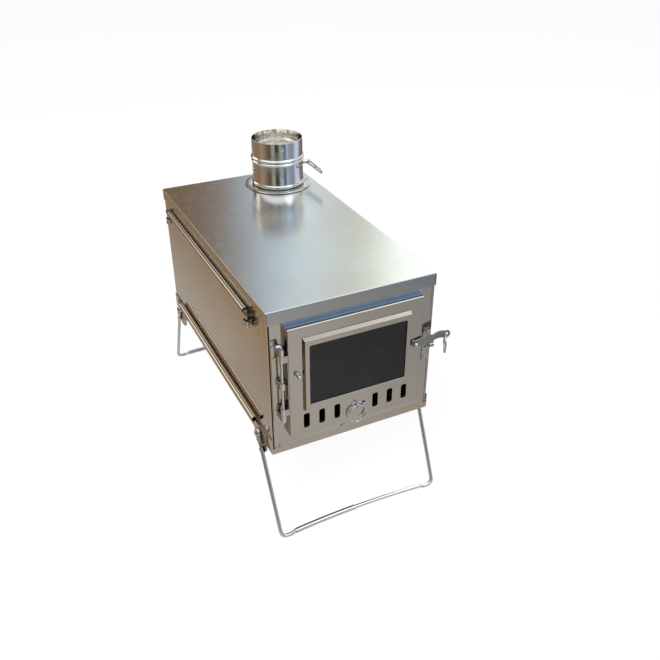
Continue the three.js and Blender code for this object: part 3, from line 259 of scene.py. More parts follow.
# ---------------------------------------------------------------- shared effects
def rolled_sheet_group():
    """Tint drift, handling smudges, rolling grain and the slow waves of thin bright sheet, with other colours on faces
    that point sideways or up: painted reflection and shade.
    """
    tree, given, out = group_of(
        "rolled_sheet",
        [
            ("Vector", "NodeSocketVector", None),
            ("Facing", "NodeSocketVector", None),
            ("Colour", "NodeSocketColor", (0.5, 0.5, 0.5, 1)),
            ("Side Colour", "NodeSocketColor", (0.5, 0.5, 0.5, 1)),
            ("Top Colour", "NodeSocketColor", (0.5, 0.5, 0.5, 1)),
            ("Tint", "NodeSocketColor", (0.5, 0.4, 0.3, 1)),
            ("Tint Share", "NodeSocketFloat", 0.3),
            ("Roughness", "NodeSocketFloat", 0.15),
            ("Grain", "NodeSocketVector", (1, 1, 1)),
        ],
        [("Color", "NodeSocketColor"), ("Roughness", "NodeSocketFloat"), ("Height", "NodeSocketFloat")],
    )
    place = given["Vector"]
    drift = spread(tree, noise(tree, place, 7.0, 1.0), 0.35, 0.65)
    share = arithmetic(tree, "MULTIPLY", drift, given["Tint Share"])
    facing = put(tree, "ShaderNodeSeparateXYZ", {0: given["Facing"]}).outputs
    # Painted reflection and shade: faces that point sideways or up take the side and top colours of the same sheet.
    sideways = spread(tree, arithmetic(tree, "ABSOLUTE", facing["X"]), 0.72, 0.93)
    upward = spread(tree, facing["Z"], 0.90, 0.97)
    colour = blended(tree, sideways, given["Colour"], given["Side Colour"])
    colour = blended(tree, upward, colour, given["Top Colour"])
    colour = blended(tree, share, colour, given["Tint"])
    stretched = put(tree, "ShaderNodeVectorMath", {0: place, 1: given["Grain"]}, operation="MULTIPLY")
    grain = noise(tree, stretched.outputs[0], 1.0, 3.0)
    smudge = noise(tree, place, 55.0, 4.0, 0.6)
    fine = arithmetic(tree, "MULTIPLY_ADD", grain, 0.06, -0.03)
    marks = spread(tree, smudge, 0.52, 0.74, 0.0, 0.05)
    rough = arithmetic(tree, "ADD", given["Roughness"], arithmetic(tree, "ADD", fine, marks))
    shaded = blended(tree, arithmetic(tree, "MULTIPLY", grain, 0.10), colour, (0.3, 0.3, 0.3, 1))
    waves = noise(tree, place, 11.0, 1.0)
    height = arithmetic(tree, "MULTIPLY_ADD", grain, 0.004, waves)
    tree.links.new(shaded, out.inputs["Color"])
    tree.links.new(rough, out.inputs["Roughness"])
    tree.links.new(height, out.inputs["Height"])
    return tree


def edge_wear_group():
    """A mask of the edges that handling polishes."""
    tree, given, out = group_of(
        "edge_wear",
        [("Width", "NodeSocketFloat", mm(0.5)), ("Colour", "NodeSocketColor", (0.5, 0.5, 0.5, 1)),
         ("Amount", "NodeSocketFloat", 0.5)],
        [("Color", "NodeSocketColor"), ("Mask", "NodeSocketFloat")],
    )
    rounded = put(tree, "ShaderNodeBevel", {"Radius": given["Width"]}, samples=4)
    real = put(tree, "ShaderNodeNewGeometry")
    turn = dot(tree, rounded.outputs[0], real.outputs["Normal"])
    mask = spread(tree, turn, 0.995, 0.80)
    share = arithmetic(tree, "MULTIPLY", mask, given["Amount"])
    bright = blended(tree, share, given["Colour"], (0.86, 0.85, 0.83, 1))
    tree.links.new(bright, out.inputs["Color"])
    tree.links.new(share, out.inputs["Mask"])
    return tree


def contact_shade_group():
    """Painted shade where sheets meet: the colour darkens where ambient occlusion finds other surfaces within reach."""
    tree, given, out = group_of(
        "contact_shade",
        [("Colour", "NodeSocketColor", (0.5, 0.5, 0.5, 1)), ("Reach", "NodeSocketFloat", mm(3)),
         ("Amount", "NodeSocketFloat", 0.5)],
        [("Color", "NodeSocketColor"), ("Mask", "NodeSocketFloat")],
    )
    near = put(tree, "ShaderNodeAmbientOcclusion", {"Distance": given["Reach"]}, samples=4)
    mask = spread(tree, near.outputs["AO"], 0.75, 0.25)
    share = arithmetic(tree, "MULTIPLY", mask, given["Amount"])
    dark = blended(tree, share, given["Colour"], (0.05, 0.045, 0.04, 1))
    tree.links.new(dark, out.inputs["Color"])
    tree.links.new(share, out.inputs["Mask"])
    return tree


EFFECTS = {}
FINISHES = {}


def effect(tree, name, sockets):
    """A shared effect's outputs. Its group is made once."""
    builders = {"rolled_sheet": rolled_sheet_group, "edge_wear": edge_wear_group, "contact_shade": contact_shade_group}
    if name not in EFFECTS:
        EFFECTS[name] = builders[name]()
    return put(tree, "ShaderNodeGroup", sockets, node_tree=EFFECTS[name]).outputs


def new_finish(name):
    """A new material, kept under its name: (tree, Principled shader)."""
    material = bpy.data.materials.new(name)
    material.use_nodes = True
    FINISHES[name] = material
    return material.node_tree, material.node_tree.nodes["Principled BSDF"]


def metal_finish(
    name, colour, tint, tint_share=0.3, roughness=0.15, grain=(500, 14, 14),
    wave=0.35, wear=0.4, shade_in_contacts=0.5, side=None, top=None,
):
    """Bright metal whose sides and top may take other colours, which paint in the reflections and shade they would see,
    and whose crevices carry painted shade.
    """
    tree, shader = new_finish(name)
    coordinates = put(tree, "ShaderNodeTexCoord").outputs
    sheet = effect(tree, "rolled_sheet", {
        "Vector": coordinates["Object"], "Facing": coordinates["Normal"], "Colour": colour,
        "Side Colour": side or colour, "Top Colour": top or colour, "Tint": tint,
        "Tint Share": tint_share, "Roughness": roughness, "Grain": grain,
    })
    worn = effect(tree, "edge_wear", {"Colour": sheet["Color"], "Amount": wear})
    contact_shaded = effect(tree, "contact_shade", {"Colour": worn["Color"], "Amount": shade_in_contacts})
    # The base colour holds painted shade in crevices and where parts touch.
    tree.links.new(contact_shaded["Color"], shader.inputs["Base Color"])
    dulled = arithmetic(tree, "MULTIPLY_ADD", contact_shaded["Mask"], 0.35, sheet["Roughness"])
    tree.links.new(dulled, shader.inputs["Roughness"])
    shader.inputs["Metallic"].default_value = 1.0
    bump = put(tree, "ShaderNodeBump", {"Height": sheet["Height"], "Strength": wave, "Distance": mm(1)})
    tree.links.new(bump.outputs[0], shader.inputs["Normal"])


def glass_finish(name):
    """Heat-proof window glass with a brown cast and a patchy film of soot."""
    tree, shader = new_finish(name)
    place = put(tree, "ShaderNodeTexCoord").outputs["Object"]
    film = noise(tree, place, 30.0, 4.0, 0.6)
    colour = blended(tree, spread(tree, film, 0.3, 0.7), (0.16, 0.13, 0.10, 1), (0.10, 0.09, 0.08, 1))
    tree.links.new(colour, shader.inputs["Base Color"])
    rough = spread(tree, film, 0.35, 0.75, 0.04, 0.10)
    tree.links.new(rough, shader.inputs["Roughness"])
    shader.inputs["Metallic"].default_value = 0.0
    shader.inputs["Transmission Weight"].default_value = 1.0
    shader.inputs["IOR"].default_value = 1.47


# ---------------------------------------------------------------- mesh helpers
def trim(piece, finish, chosen):
    """Gives a second finish to the faces that `chosen` picks."""
    piece.data.materials.append(FINISHES[finish])
    for face in piece.data.polygons:
        if chosen(face):
            face.material_index = 1


def settle(piece, finish, node):
    """Hands a finished piece to the frame, in the place of its node."""
    piece.data.materials.clear()
    piece.data.materials.append(FINISHES[finish])
    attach(piece, BODY_OF[node])
    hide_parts(node)
    return piece


def object_from(name, work, smooth=35.0):
    """A scene object from a bmesh whose place is in its mesh."""
    mesh = bpy.data.meshes.new(name)
    work.to_mesh(mesh)
    work.free()
    if smooth:
        mesh.shade_smooth()
        mesh.set_sharp_from_angle(angle=math.radians(smooth))
    piece = bpy.data.objects.new(name, mesh)
    bpy.context.scene.collection.objects.link(piece)
    return piece


def merged_copy(node):
    """A node's mesh as one clean bmesh: doubles merged and flat faces joined."""
    work = bmesh.new()
    work.from_mesh(frame["nodes"][node].data)
    bmesh.ops.remove_doubles(work, verts=work.verts, dist=mm(0.001))
    bmesh.ops.dissolve_limit(work, angle_limit=math.radians(0.4), verts=work.verts, edges=work.edges)
    return work


def soften(piece, width, segments=2, angle=32.0):
    """Rounds a sheet's cut edges and keeps its flats flat."""
    bevel = piece.modifiers.new("edge", "BEVEL")
    bevel.width = width
    bevel.segments = segments
    bevel.limit_method = "ANGLE"
    bevel.angle_limit = math.radians(angle)
    bevel.use_clamp_overlap = True
    bevel.harden_normals = False
    even = piece.modifiers.new("shade", "WEIGHTED_NORMAL")
    even.keep_sharp = True
    return piece


def dressed_sheet(name, node, finish, edge=None, segments=2, heads=()):
    """A sheet piece that follows its node, with rounded edges and rivet heads."""
    sizes = bpy.context.scene.stove_sizes
    work = merged_copy(node)
    for head in heads:
        work.from_mesh(head.data)
        bpy.data.objects.remove(head)
    piece = object_from(name, work, 50.0)
    soften(piece, sizes.edge if edge is None else edge, segments)
    return settle(piece, finish, node)


def adopt(work, part):
    """Moves one bmesh into another."""
    facing_out(part)
    spare = bpy.data.meshes.new("spare")
    part.to_mesh(spare)
    part.free()
    work.from_mesh(spare)
    bpy.data.meshes.remove(spare)
    return work


def lathe(work, profile, place, sides, closed):
    """Turns (radius, height) points round the Z axis of `place`."""
    rings = []
    for radius, height in profile:
        if radius < 1e-9:
            rings.append([work.verts.new(place @ Vector((0, 0, height)))])
            continue
        ring = []
        for i in range(sides):
            turn = 2 * math.pi * i / sides
            ring.append(work.verts.new(place @ Vector((radius * math.cos(turn), radius * math.sin(turn), height))))
        rings.append(ring)
    pairs = list(zip(rings, rings[1:]))
    if closed:
        pairs.append((rings[-1], rings[0]))
    for low, high in pairs:
        for i in range(sides):
            j = (i + 1) % sides
            if len(low) == 1 and len(high) == 1:
                break
            if len(low) == 1:
                work.faces.new((low[0], high[j], high[i]))
            elif len(high) == 1:
                work.faces.new((low[i], low[j], high[0]))
            else:
                work.faces.new((low[i], low[j], high[j], high[i]))
    return work


def facing_out(work):
    """Merges doubles and turns every face outwards."""
    bmesh.ops.remove_doubles(work, verts=work.verts, dist=mm(0.0005))
    bmesh.ops.recalc_face_normals(work, faces=work.faces)
    return work


def along(axis, origin):
    """A placing that turns +Z to the given axis at `origin`."""
    turn = Vector(axis).normalized().to_track_quat("Z", "Y").to_matrix().to_4x4()
    return Matrix.Translation(origin) @ turn


def rounded_profile(radius, low, high, corner, steps=4):
    """A solid disc's (radius, height) outline with rounded rims."""
    points = [(0.0, low)]
    for i in range(steps + 1):
        turn = math.pi / 2 * i / steps
        points.append((radius - corner + corner * math.sin(turn), low + corner - corner * math.cos(turn)))
    for i in range(steps + 1):
        turn = math.pi / 2 * i / steps
        points.append((radius - corner + corner * math.cos(turn), high - corner + corner * math.sin(turn)))
    points.append((0.0, high))
    return points


def band_profile(inner, outer, low, high, corner, steps=3):
    """A ring's closed outline with rounded edges."""
    points = []
    corners = ((outer - corner, high - corner), (inner + corner, high - corner),
               (inner + corner, low + corner), (outer - corner, low + corner))
    for quarter, (radius, height) in enumerate(corners):
        for i in range(steps + 1):
            turn = math.pi / 2 * (quarter + i / steps)
            points.append((radius + corner * math.cos(turn), height + corner * math.sin(turn)))
    return points


def turned(work, profile, axis, origin, sides=40, closed=False):
    """Adds a turned body on an axis."""
    part = bmesh.new()
    lathe(part, profile, along(axis, origin), sides, closed)
    return adopt(work, part)


def plate(work, outline, holes, place, thickness):
    """Adds a flat plate in the X-Y plane of `place`, with holes."""
    part = bmesh.new()
    rim = []
    for loop in (outline, *holes):
        corners = [part.verts.new((u, v, 0.0)) for u, v in loop]
        rim += [part.edges.new((corners[i - 1], corners[i])) for i in range(len(corners))]
    bmesh.ops.triangle_fill(part, use_beauty=True, use_dissolve=False, edges=rim)
    grown = bmesh.ops.extrude_face_region(part, geom=part.faces[:])
    lifted = [item for item in grown["geom"] if isinstance(item, bmesh.types.BMVert)]
    bmesh.ops.translate(part, vec=(0, 0, thickness), verts=lifted)
    bmesh.ops.transform(part, matrix=place, verts=part.verts)
    return adopt(work, part)


def round_hole(u, v, radius, sides=28):
    """A round hole's outline."""
    return [(u + radius * math.cos(2 * math.pi * i / sides), v + radius * math.sin(2 * math.pi * i / sides))
            for i in range(sides)]


def arc(u, v, radius, start, end, steps):
    """Points of an arc in radians, its ends included."""
    return [(u + radius * math.cos(start + (end - start) * i / steps),
             v + radius * math.sin(start + (end - start) * i / steps)) for i in range(steps + 1)]


def curve(start, bow, end, steps=12):
    """Points of a quadratic curve after its start."""
    points = []
    for i in range(1, steps + 1):
        t = i / steps
        points.append(tuple(a * (1 - t) ** 2 + 2 * b * t * (1 - t) + c * t ** 2 for a, b, c in zip(start, bow, end)))
    return points


FRONTWARD = Matrix(((1, 0, 0, 0), (0, 0, -1, 0), (0, 1, 0, 0), (0, 0, 0, 1)))
SIDEWARD = Matrix(((0, 0, 1, 0), (1, 0, 0, 0), (0, 1, 0, 0), (0, 0, 0, 1)))


# ---------------------------------------------------------------- Geometry Nodes
TREES = {}


def geometry_tree(name, sizes):
    """A modifier tree with named sizes: (tree, given, out)."""
    inputs = [("Geometry", "NodeSocketGeometry", None)]
    inputs += [(label, socket, default) for label, socket, default in sizes]
    inputs.append(("Finish", "NodeSocketMaterial", None))
    tree, given, out = group_of(name, inputs, [("Geometry", "NodeSocketGeometry")], "GeometryNodeTree")
    tree.is_modifier = True
    return tree, given, out


def close_tree(tree, given, out, geometry):
    """Ends a tree in Realize Instances and Set Material."""
    real = output(tree, "GeometryNodeRealizeInstances", {"Geometry": geometry})
    done = output(tree, "GeometryNodeSetMaterial", {"Geometry": real, "Material": given["Finish"]})
    tree.links.new(done, out.inputs[0])
    return tree


def wire_tree():
    """Round wire along a path, with closed ends."""
    tree, given, out = geometry_tree(
        "wire_on_path", [("Radius", "NodeSocketFloat", mm(1)), ("Sides", "NodeSocketInt", 16)]
    )
    path = output(tree, "GeometryNodeMeshToCurve", {"Mesh": given["Geometry"]})
    ring = output(
        tree, "GeometryNodeCurvePrimitiveCircle",
        {"Resolution": given["Sides"], "Radius": given["Radius"]},
    )
    tube = output(tree, "GeometryNodeCurveToMesh", {"Curve": path, "Profile Curve": ring, "Fill Caps": True})
    smooth = output(tree, "GeometryNodeSetShadeSmooth", {"Geometry": tube})
    return close_tree(tree, given, out, smooth)


def heads_tree():
    """A domed head on every point, turned to the point's `facing`."""
    tree, given, out = geometry_tree(
        "heads_on_points",
        [("Radius", "NodeSocketFloat", mm(1.9)), ("Rise", "NodeSocketFloat", mm(1.1))],
    )
    ball = output(tree, "GeometryNodeMeshUVSphere", {"Segments": 20, "Rings": 10, "Radius": 1.0})
    size = output(
        tree, "ShaderNodeCombineXYZ",
        {"X": given["Radius"], "Y": given["Radius"], "Z": given["Rise"]},
    )
    head = output(tree, "GeometryNodeTransform", {"Geometry": ball, "Scale": size})
    smooth = output(tree, "GeometryNodeSetShadeSmooth", {"Geometry": head})
    facing = output(tree, "GeometryNodeInputNamedAttribute", {"Name": "facing"}, data_type="FLOAT_VECTOR")
    turn = output(tree, "FunctionNodeAlignRotationToVector", {"Vector": facing}, axis="Z")
    placed = output(
        tree, "GeometryNodeInstanceOnPoints",
        {"Points": given["Geometry"], "Instance": smooth, "Rotation": turn},
    )
    return close_tree(tree, given, out, placed)


def thread_tree():
    """A bolt's core with a helical thread round it, hanging from every point along -Z."""
    tree, given, out = geometry_tree(
        "thread_on_points",
        [("Radius", "NodeSocketFloat", mm(1.3)), ("Length", "NodeSocketFloat", mm(16)),
         ("Pitch", "NodeSocketFloat", mm(0.7))],
    )
    turns = arithmetic(tree, "DIVIDE", given["Length"], given["Pitch"])
    inner = arithmetic(tree, "SUBTRACT", given["Radius"], mm(0.2))
    helix = output(
        tree, "GeometryNodeCurveSpiral",
        {"Resolution": 18, "Rotations": turns, "Start Radius": inner,
         "End Radius": inner, "Height": given["Length"]},
    )
    ridge = output(tree, "GeometryNodeCurvePrimitiveCircle", {"Resolution": 6, "Radius": mm(0.2)})
    thread = output(
        tree, "GeometryNodeCurveToMesh",
        {"Curve": helix, "Profile Curve": ridge, "Fill Caps": True},
    )
    core = output(tree, "GeometryNodeMeshCylinder", {"Vertices": 20, "Radius": inner, "Depth": given["Length"]})
    half = arithmetic(tree, "MULTIPLY", given["Length"], 0.5)
    lift = output(tree, "ShaderNodeCombineXYZ", {"Z": half})
    lifted = output(tree, "GeometryNodeTransform", {"Geometry": core, "Translation": lift})
    both = put(tree, "GeometryNodeJoinGeometry")
    tree.links.new(thread, both.inputs[0])
    tree.links.new(lifted, both.inputs[0])
    down = arithmetic(tree, "MULTIPLY", given["Length"], -1.0)
    drop = output(tree, "ShaderNodeCombineXYZ", {"Z": down})
    hung = output(tree, "GeometryNodeTransform", {"Geometry": both.outputs[0], "Translation": drop})
    smooth = output(tree, "GeometryNodeSetShadeSmooth", {"Geometry": hung})
    placed = output(tree, "GeometryNodeInstanceOnPoints", {"Points": given["Geometry"], "Instance": smooth})
    return close_tree(tree, given, out, placed)


def scallops_tree():
    """The upright rolls round a thumb nut's grip, about every point."""
    tree, given, out = geometry_tree(
        "scallops_on_points",
        [("Radius", "NodeSocketFloat", mm(3)), ("Roll", "NodeSocketFloat", mm(0.8)),
         ("Height", "NodeSocketFloat", mm(4)), ("Count", "NodeSocketInt", 10)],
    )
    circle = output(tree, "GeometryNodeMeshCircle", {"Vertices": given["Count"], "Radius": given["Radius"]})
    roll = output(tree, "GeometryNodeMeshUVSphere", {"Segments": 12, "Rings": 8, "Radius": given["Roll"]})
    tall = arithmetic(tree, "DIVIDE", given["Height"], given["Roll"])
    half = arithmetic(tree, "MULTIPLY", tall, 0.5)
    size = output(tree, "ShaderNodeCombineXYZ", {"X": 1.0, "Y": 1.0, "Z": half})
    long_roll = output(tree, "GeometryNodeTransform", {"Geometry": roll, "Scale": size})
    smooth = output(tree, "GeometryNodeSetShadeSmooth", {"Geometry": long_roll})
    ring = output(tree, "GeometryNodeInstanceOnPoints", {"Points": circle, "Instance": smooth})
    placed = output(tree, "GeometryNodeInstanceOnPoints", {"Points": given["Geometry"], "Instance": ring})
    return close_tree(tree, given, out, placed)


def grow(name, tree_name, finish, points, edges=(), facings=None, **values):
    """Runs a tree on points and keeps the result as a plain mesh."""
    values["Finish"] = FINISHES[finish]
    builders = {"wire": wire_tree, "heads": heads_tree, "thread": thread_tree, "scallops": scallops_tree}
    if tree_name not in TREES:
        TREES[tree_name] = builders[tree_name]()
    tree = TREES[tree_name]
    mesh = bpy.data.meshes.new(name)
    mesh.from_pydata([tuple(point) for point in points], list(edges), [])
    if facings:
        layer = mesh.attributes.new("facing", "FLOAT_VECTOR", "POINT")
        layer.data.foreach_set("vector", [value for facing in facings for value in facing])
    piece = bpy.data.objects.new(name, mesh)
    bpy.context.scene.collection.objects.link(piece)
    modifier = piece.modifiers.new(name, "NODES")
    modifier.node_group = tree
    for item in tree.interface.items_tree:
        if item.item_type == "SOCKET" and item.in_out == "INPUT" and item.name in values:
            modifier[item.identifier] = values[item.name]
    shown = piece.evaluated_get(bpy.context.evaluated_depsgraph_get())
    result = bpy.data.meshes.new_from_object(shown)
    result.name = name
    piece.modifiers.clear()
    piece.data = result
    if not result.polygons:
        raise RuntimeError(f"{name} came out empty")
    return piece


def wire(finish, points, radius, sides=18, closed=False):
    """Round wire along a path of points."""
    edges = [(i, i + 1) for i in range(len(points) - 1)]
    if closed:
        edges.append((len(points) - 1, 0))
    return grow("wire", "wire", finish, points, edges, Radius=radius, Sides=sides)


def rivet_heads(finish, places, facing, radius=None, rise=None):
    """Domed heads at the given places, all facing one way."""
    sizes = bpy.context.scene.stove_sizes
    return grow(
        "heads", "heads", finish, places, facings=[facing] * len(places),
        Radius=radius or sizes.rivet_radius, Rise=rise or sizes.rivet_rise,
    )


def gather(name, work, *pieces, smooth=35.0):
    """One object from a bmesh and other objects."""
    for piece in pieces:
        work.from_mesh(piece.data)
        bpy.data.objects.remove(piece)
    facing_out(work)
    return object_from(name, work, smooth)


def bent(points, radius, steps=10):
    """A path whose inner corners are turned through `radius`."""
    corners = [Vector(point) for point in points]
    knots = [corners[0]]
    for before, corner, after in zip(corners, corners[1:], corners[2:]):
        back = (before - corner).normalized()
        on = (after - corner).normalized()
        reach = radius / math.tan(back.angle(on) / 2)
        start = corner + back * reach
        end = corner + on * reach
        for i in range(steps + 1):
            t = i / steps
            knots.append(start * (1 - t) ** 2 + corner * (2 * t * (1 - t)) + end * t ** 2)
    knots.append(corners[-1])
    return knots


# ---------------------------------------------------------------- places taken from the frame
def at(x, y, z):
    """A place given in millimetres from the stove's middle plane and the floor."""
    return Vector((MIDDLE + mm(x), mm(y), mm(z)))


# In millimetres, but for SHEET. A place in front of the stove has a negative y.
SHEET = mm(0.8)
LID_LIP = -102.0
TRAY_FACE = -190.0
FOLD_BITE, FOLD_REACH, FOLD_BACK, FOLD_DEPTH = 0.3, 1.08, 2.85, 2.8
PIN_RADIUS = 1.5
RING_RADIUS = 11.4
FLUE_RADIUS, FLUE_WALL, FLUE_HEIGHT, FLUE_TUCK, RIM_CORNER = 35.0, 0.8, 66.0, 4.0, 0.4
FLUE_BEADS = ((4.8, 6.0, 1.7), (35.9, 3.4, 1.1), (40.7, 5.0, 1.7))
DAMPER_RISE = 24.3
CLAMP_ROD_Z, NUT_DROP = 272.5, 8.3
KINK_RISE, BOW_RISE = 1.7, 3.1
STOP_SET, STOP_DROP = 9.95, 12.95
STUD_X, STUD_Z = 72.0, 216.1
DOOR_FACE = -198.5
LEG_WIRE, LEG_SIDE, LEG_LENGTH = 2.3, 106.1, 130.594
LEG_PIVOT, LEG_LEAN = (157.0, 119.5), math.radians(25.879)
FOOT_SIDE, FOOT_FLAT, KINK_END = 104.4, 13.0, 17.0
SLEEVE_SPAN = (-86.4, -6.0)


# ---------------------------------------------------------------- operators
class BuildFinishes(bpy.types.Operator):
    """Makes every finish"""

    bl_idname = "stove.finishes"
    bl_label = "Finishes"

    def execute(self, context):
        colours = context.scene.stove_colours
        wall, side, lid, flank, ledge, lip, heat, chrome, satin, bore, dark, soot = (
            tuple(getattr(colours, name)) for name in (
                "wall", "side", "lid", "flank", "ledge", "lip", "heat", "chrome", "satin", "bore", "dark", "soot"
            )
        )
        # The side and top colours paint reflection and shade by facing. bracket_sheet's warm base is partly painted
        # reflection.
        metal_finish(
            "bright_sheet", wall, heat, 0.12, 0.10, (14, 14, 420), wave=0.4, shade_in_contacts=0.15, side=flank, top=ledge
        )
        metal_finish("side_sheet", wall, heat, 0.45, 0.09, (14, 9, 420), wave=0.5, shade_in_contacts=0.15, side=side, top=lid)
        metal_finish("bracket_sheet", side, heat, 0.30, 0.28, (60, 60, 60), wave=0.3, shade_in_contacts=0.1)
        metal_finish("lid_sheet", lip, heat, 0.15, 0.20, (420, 9, 14), wave=0.4, shade_in_contacts=0.15, side=side, top=lid)
        metal_finish("flue_sheet", (0.72, 0.70, 0.68, 1), heat, 0.15, 0.05, (60, 60, 900), wave=0.1)
        metal_finish("flue_bore", bore, satin, 0.12, 0.13, (260, 260, 12), wave=0.3, shade_in_contacts=0.1)
        metal_finish("bright_fitting", chrome, satin, 0.1, 0.07, (300, 300, 300), wave=0.1, wear=0.2)
        metal_finish("leg_wire", chrome, satin, 0.1, 0.09, (200, 200, 200), wave=0.1, wear=0.0)
        metal_finish("satin_fitting", satin, wall, 0.3, 0.32, (900, 30, 60), wave=0.15, wear=0.5)
        metal_finish("shade_dark_fitting", dark, satin, 0.3, 0.22, (300, 300, 300), wave=0.2, wear=0.7)
        metal_finish("inner_steel", soot, (0.04, 0.035, 0.03, 1), 0.8, 0.55, (90, 90, 90), wave=0.5, wear=0.0)
        glass_finish("window_glass")
        return {"FINISHED"}


class BuildSheets(bpy.types.Operator):
    """Dresses the lid, the tray, the walls and the grate"""

    bl_idname = "stove.sheets"
    bl_label = "Folded sheets"

    def execute(self, context):
        corners = [at(x, TRAY_FACE, z) for x, z in ((-91.3, 118.8), (92.3, 118.6), (98.8, 119.2))]
        corner_heads = rivet_heads("bright_fitting", corners, (0, -1, 0), mm(0.9), mm(0.5))
        lip_dots = [at(LID_LIP, y, z) for y, z in ((-177.0, 286.0), (-182.6, 287.3))]
        lip_heads = rivet_heads("bright_fitting", lip_dots, (-1, 0, 0), mm(0.9), mm(0.5))
        dressed_sheet("lid_shell", "lid", "lid_sheet", mm(0.3), 3, heads=[lip_heads])
        dressed_sheet("tray_shell", "tray", "side_sheet", heads=[corner_heads])
        dressed_sheet("left_wall", "left_side_panel", "side_sheet")
        dressed_sheet("right_wall", "right_side_panel", "side_sheet")
        dressed_sheet("back_wall", "back_panel", "bright_sheet")
        dressed_sheet("front_wall", "front_panel", "bright_sheet", heads=[self.corner_fold()])
        dressed_sheet("fire_grate", "grate", "inner_steel")
        return {"FINISHED"}

    def corner_fold(self):
        """The front wall's return, which closes the gap at the right corner."""
        low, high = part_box("front_panel")
        inner, outer = high.x - mm(FOLD_BITE), high.x + mm(FOLD_REACH)
        outline = [(inner, low.z), (outer, low.z), (outer, high.z), (inner, high.z)]
        fold = bmesh.new()
        place = Matrix.Translation((0, low.y + mm(FOLD_BACK), 0)) @ FRONTWARD
        plate(fold, outline, (), place, mm(FOLD_DEPTH))
        return object_from("corner_fold", fold)


class BuildDoor(bpy.types.Operator):
    """Dresses the door, the window, the slider and its rails"""

    bl_idname = "stove.door"
    bl_label = "Door and window"

    def execute(self, context):
        dressed_sheet("door_pan", "door_panel", "bright_sheet")
        dots = [at(x, -199.9, 259.6) for x in (-36.0, 9.4, 53.0)]
        frame_heads = rivet_heads("bright_fitting", dots, (0, -0.4, 1), mm(0.9), mm(0.55))
        dressed_sheet(
            "window_rim", "window_frame", "bright_sheet", mm(0.3), 3, heads=[frame_heads]
        )
        dressed_sheet("window_pane", "window_glass", "window_glass", mm(0.2))
        dressed_sheet("slider_plate", "air_slider", "inner_steel")
        dressed_sheet("slider_rail_low", "lower_slider_rail", "inner_steel")
        dressed_sheet("slider_rail_high", "upper_slider_rail", "inner_steel")
        self.staple()
        self.rod()
        return {"FINISHED"}

    def staple(self):
        """The slider's eye: a face plate, its clinched stem and a wire staple."""
        work = bmesh.new()
        middle = at(0, DOOR_FACE - 0.3, 154.0)
        outline = []
        for u, v, start in ((5, 2, 0), (-5, 2, 1), (-5, -2, 2), (5, -2, 3)):
            outline += arc(mm(u), mm(v), mm(1), math.pi / 2 * start, math.pi / 2 * (start + 1), 5)
        plate(work, outline, (), Matrix.Translation(middle) @ FRONTWARD, SHEET)
        for half_width, half_height, back, thick in ((1.25, 1.0, 2.5, 2.6), (2.5, 2.0, 3.0, 0.8)):
            corners = mm_points((u * half_width, v * half_height) for u, v in ((-1, -1), (1, -1), (1, 1), (-1, 1)))
            place = Matrix.Translation(middle + mm(0, back, 0)) @ FRONTWARD
            plate(work, corners, (), place, mm(thick))
        loop = [at(0, -201.4 - 3.0 * math.cos(turn), 154.0 + 3.0 * math.sin(turn))
                for turn in (math.radians(a) for a in range(-128, 129, 8))]
        piece = gather("slider_staple", work, wire("bright_fitting", loop, mm(0.8), 14))
        soften(piece, mm(0.15))
        settle(piece, "bright_fitting", "slider_eye")

    def rod(self):
        """The bowed rod behind the glass, with an eye on each stud."""
        work = bmesh.new()
        for side in (-1, 1):
            eye = band_profile(*map(mm, (1.9, 3.5, -1.4, 1.4, 0.4)))
            turned(work, eye, (0, 1, 0), at(side * STUD_X, -196.0, STUD_Z), 28, True)
        path = [at(t * 6.93, -196.0, STUD_Z + 1.2 * (1 - t * t / 100)) for t in range(-10, 11)]
        piece = gather("glass_rod", work, wire("bright_fitting", path, mm(1.4), 14))
        settle(piece, "bright_fitting", "glass_bar")


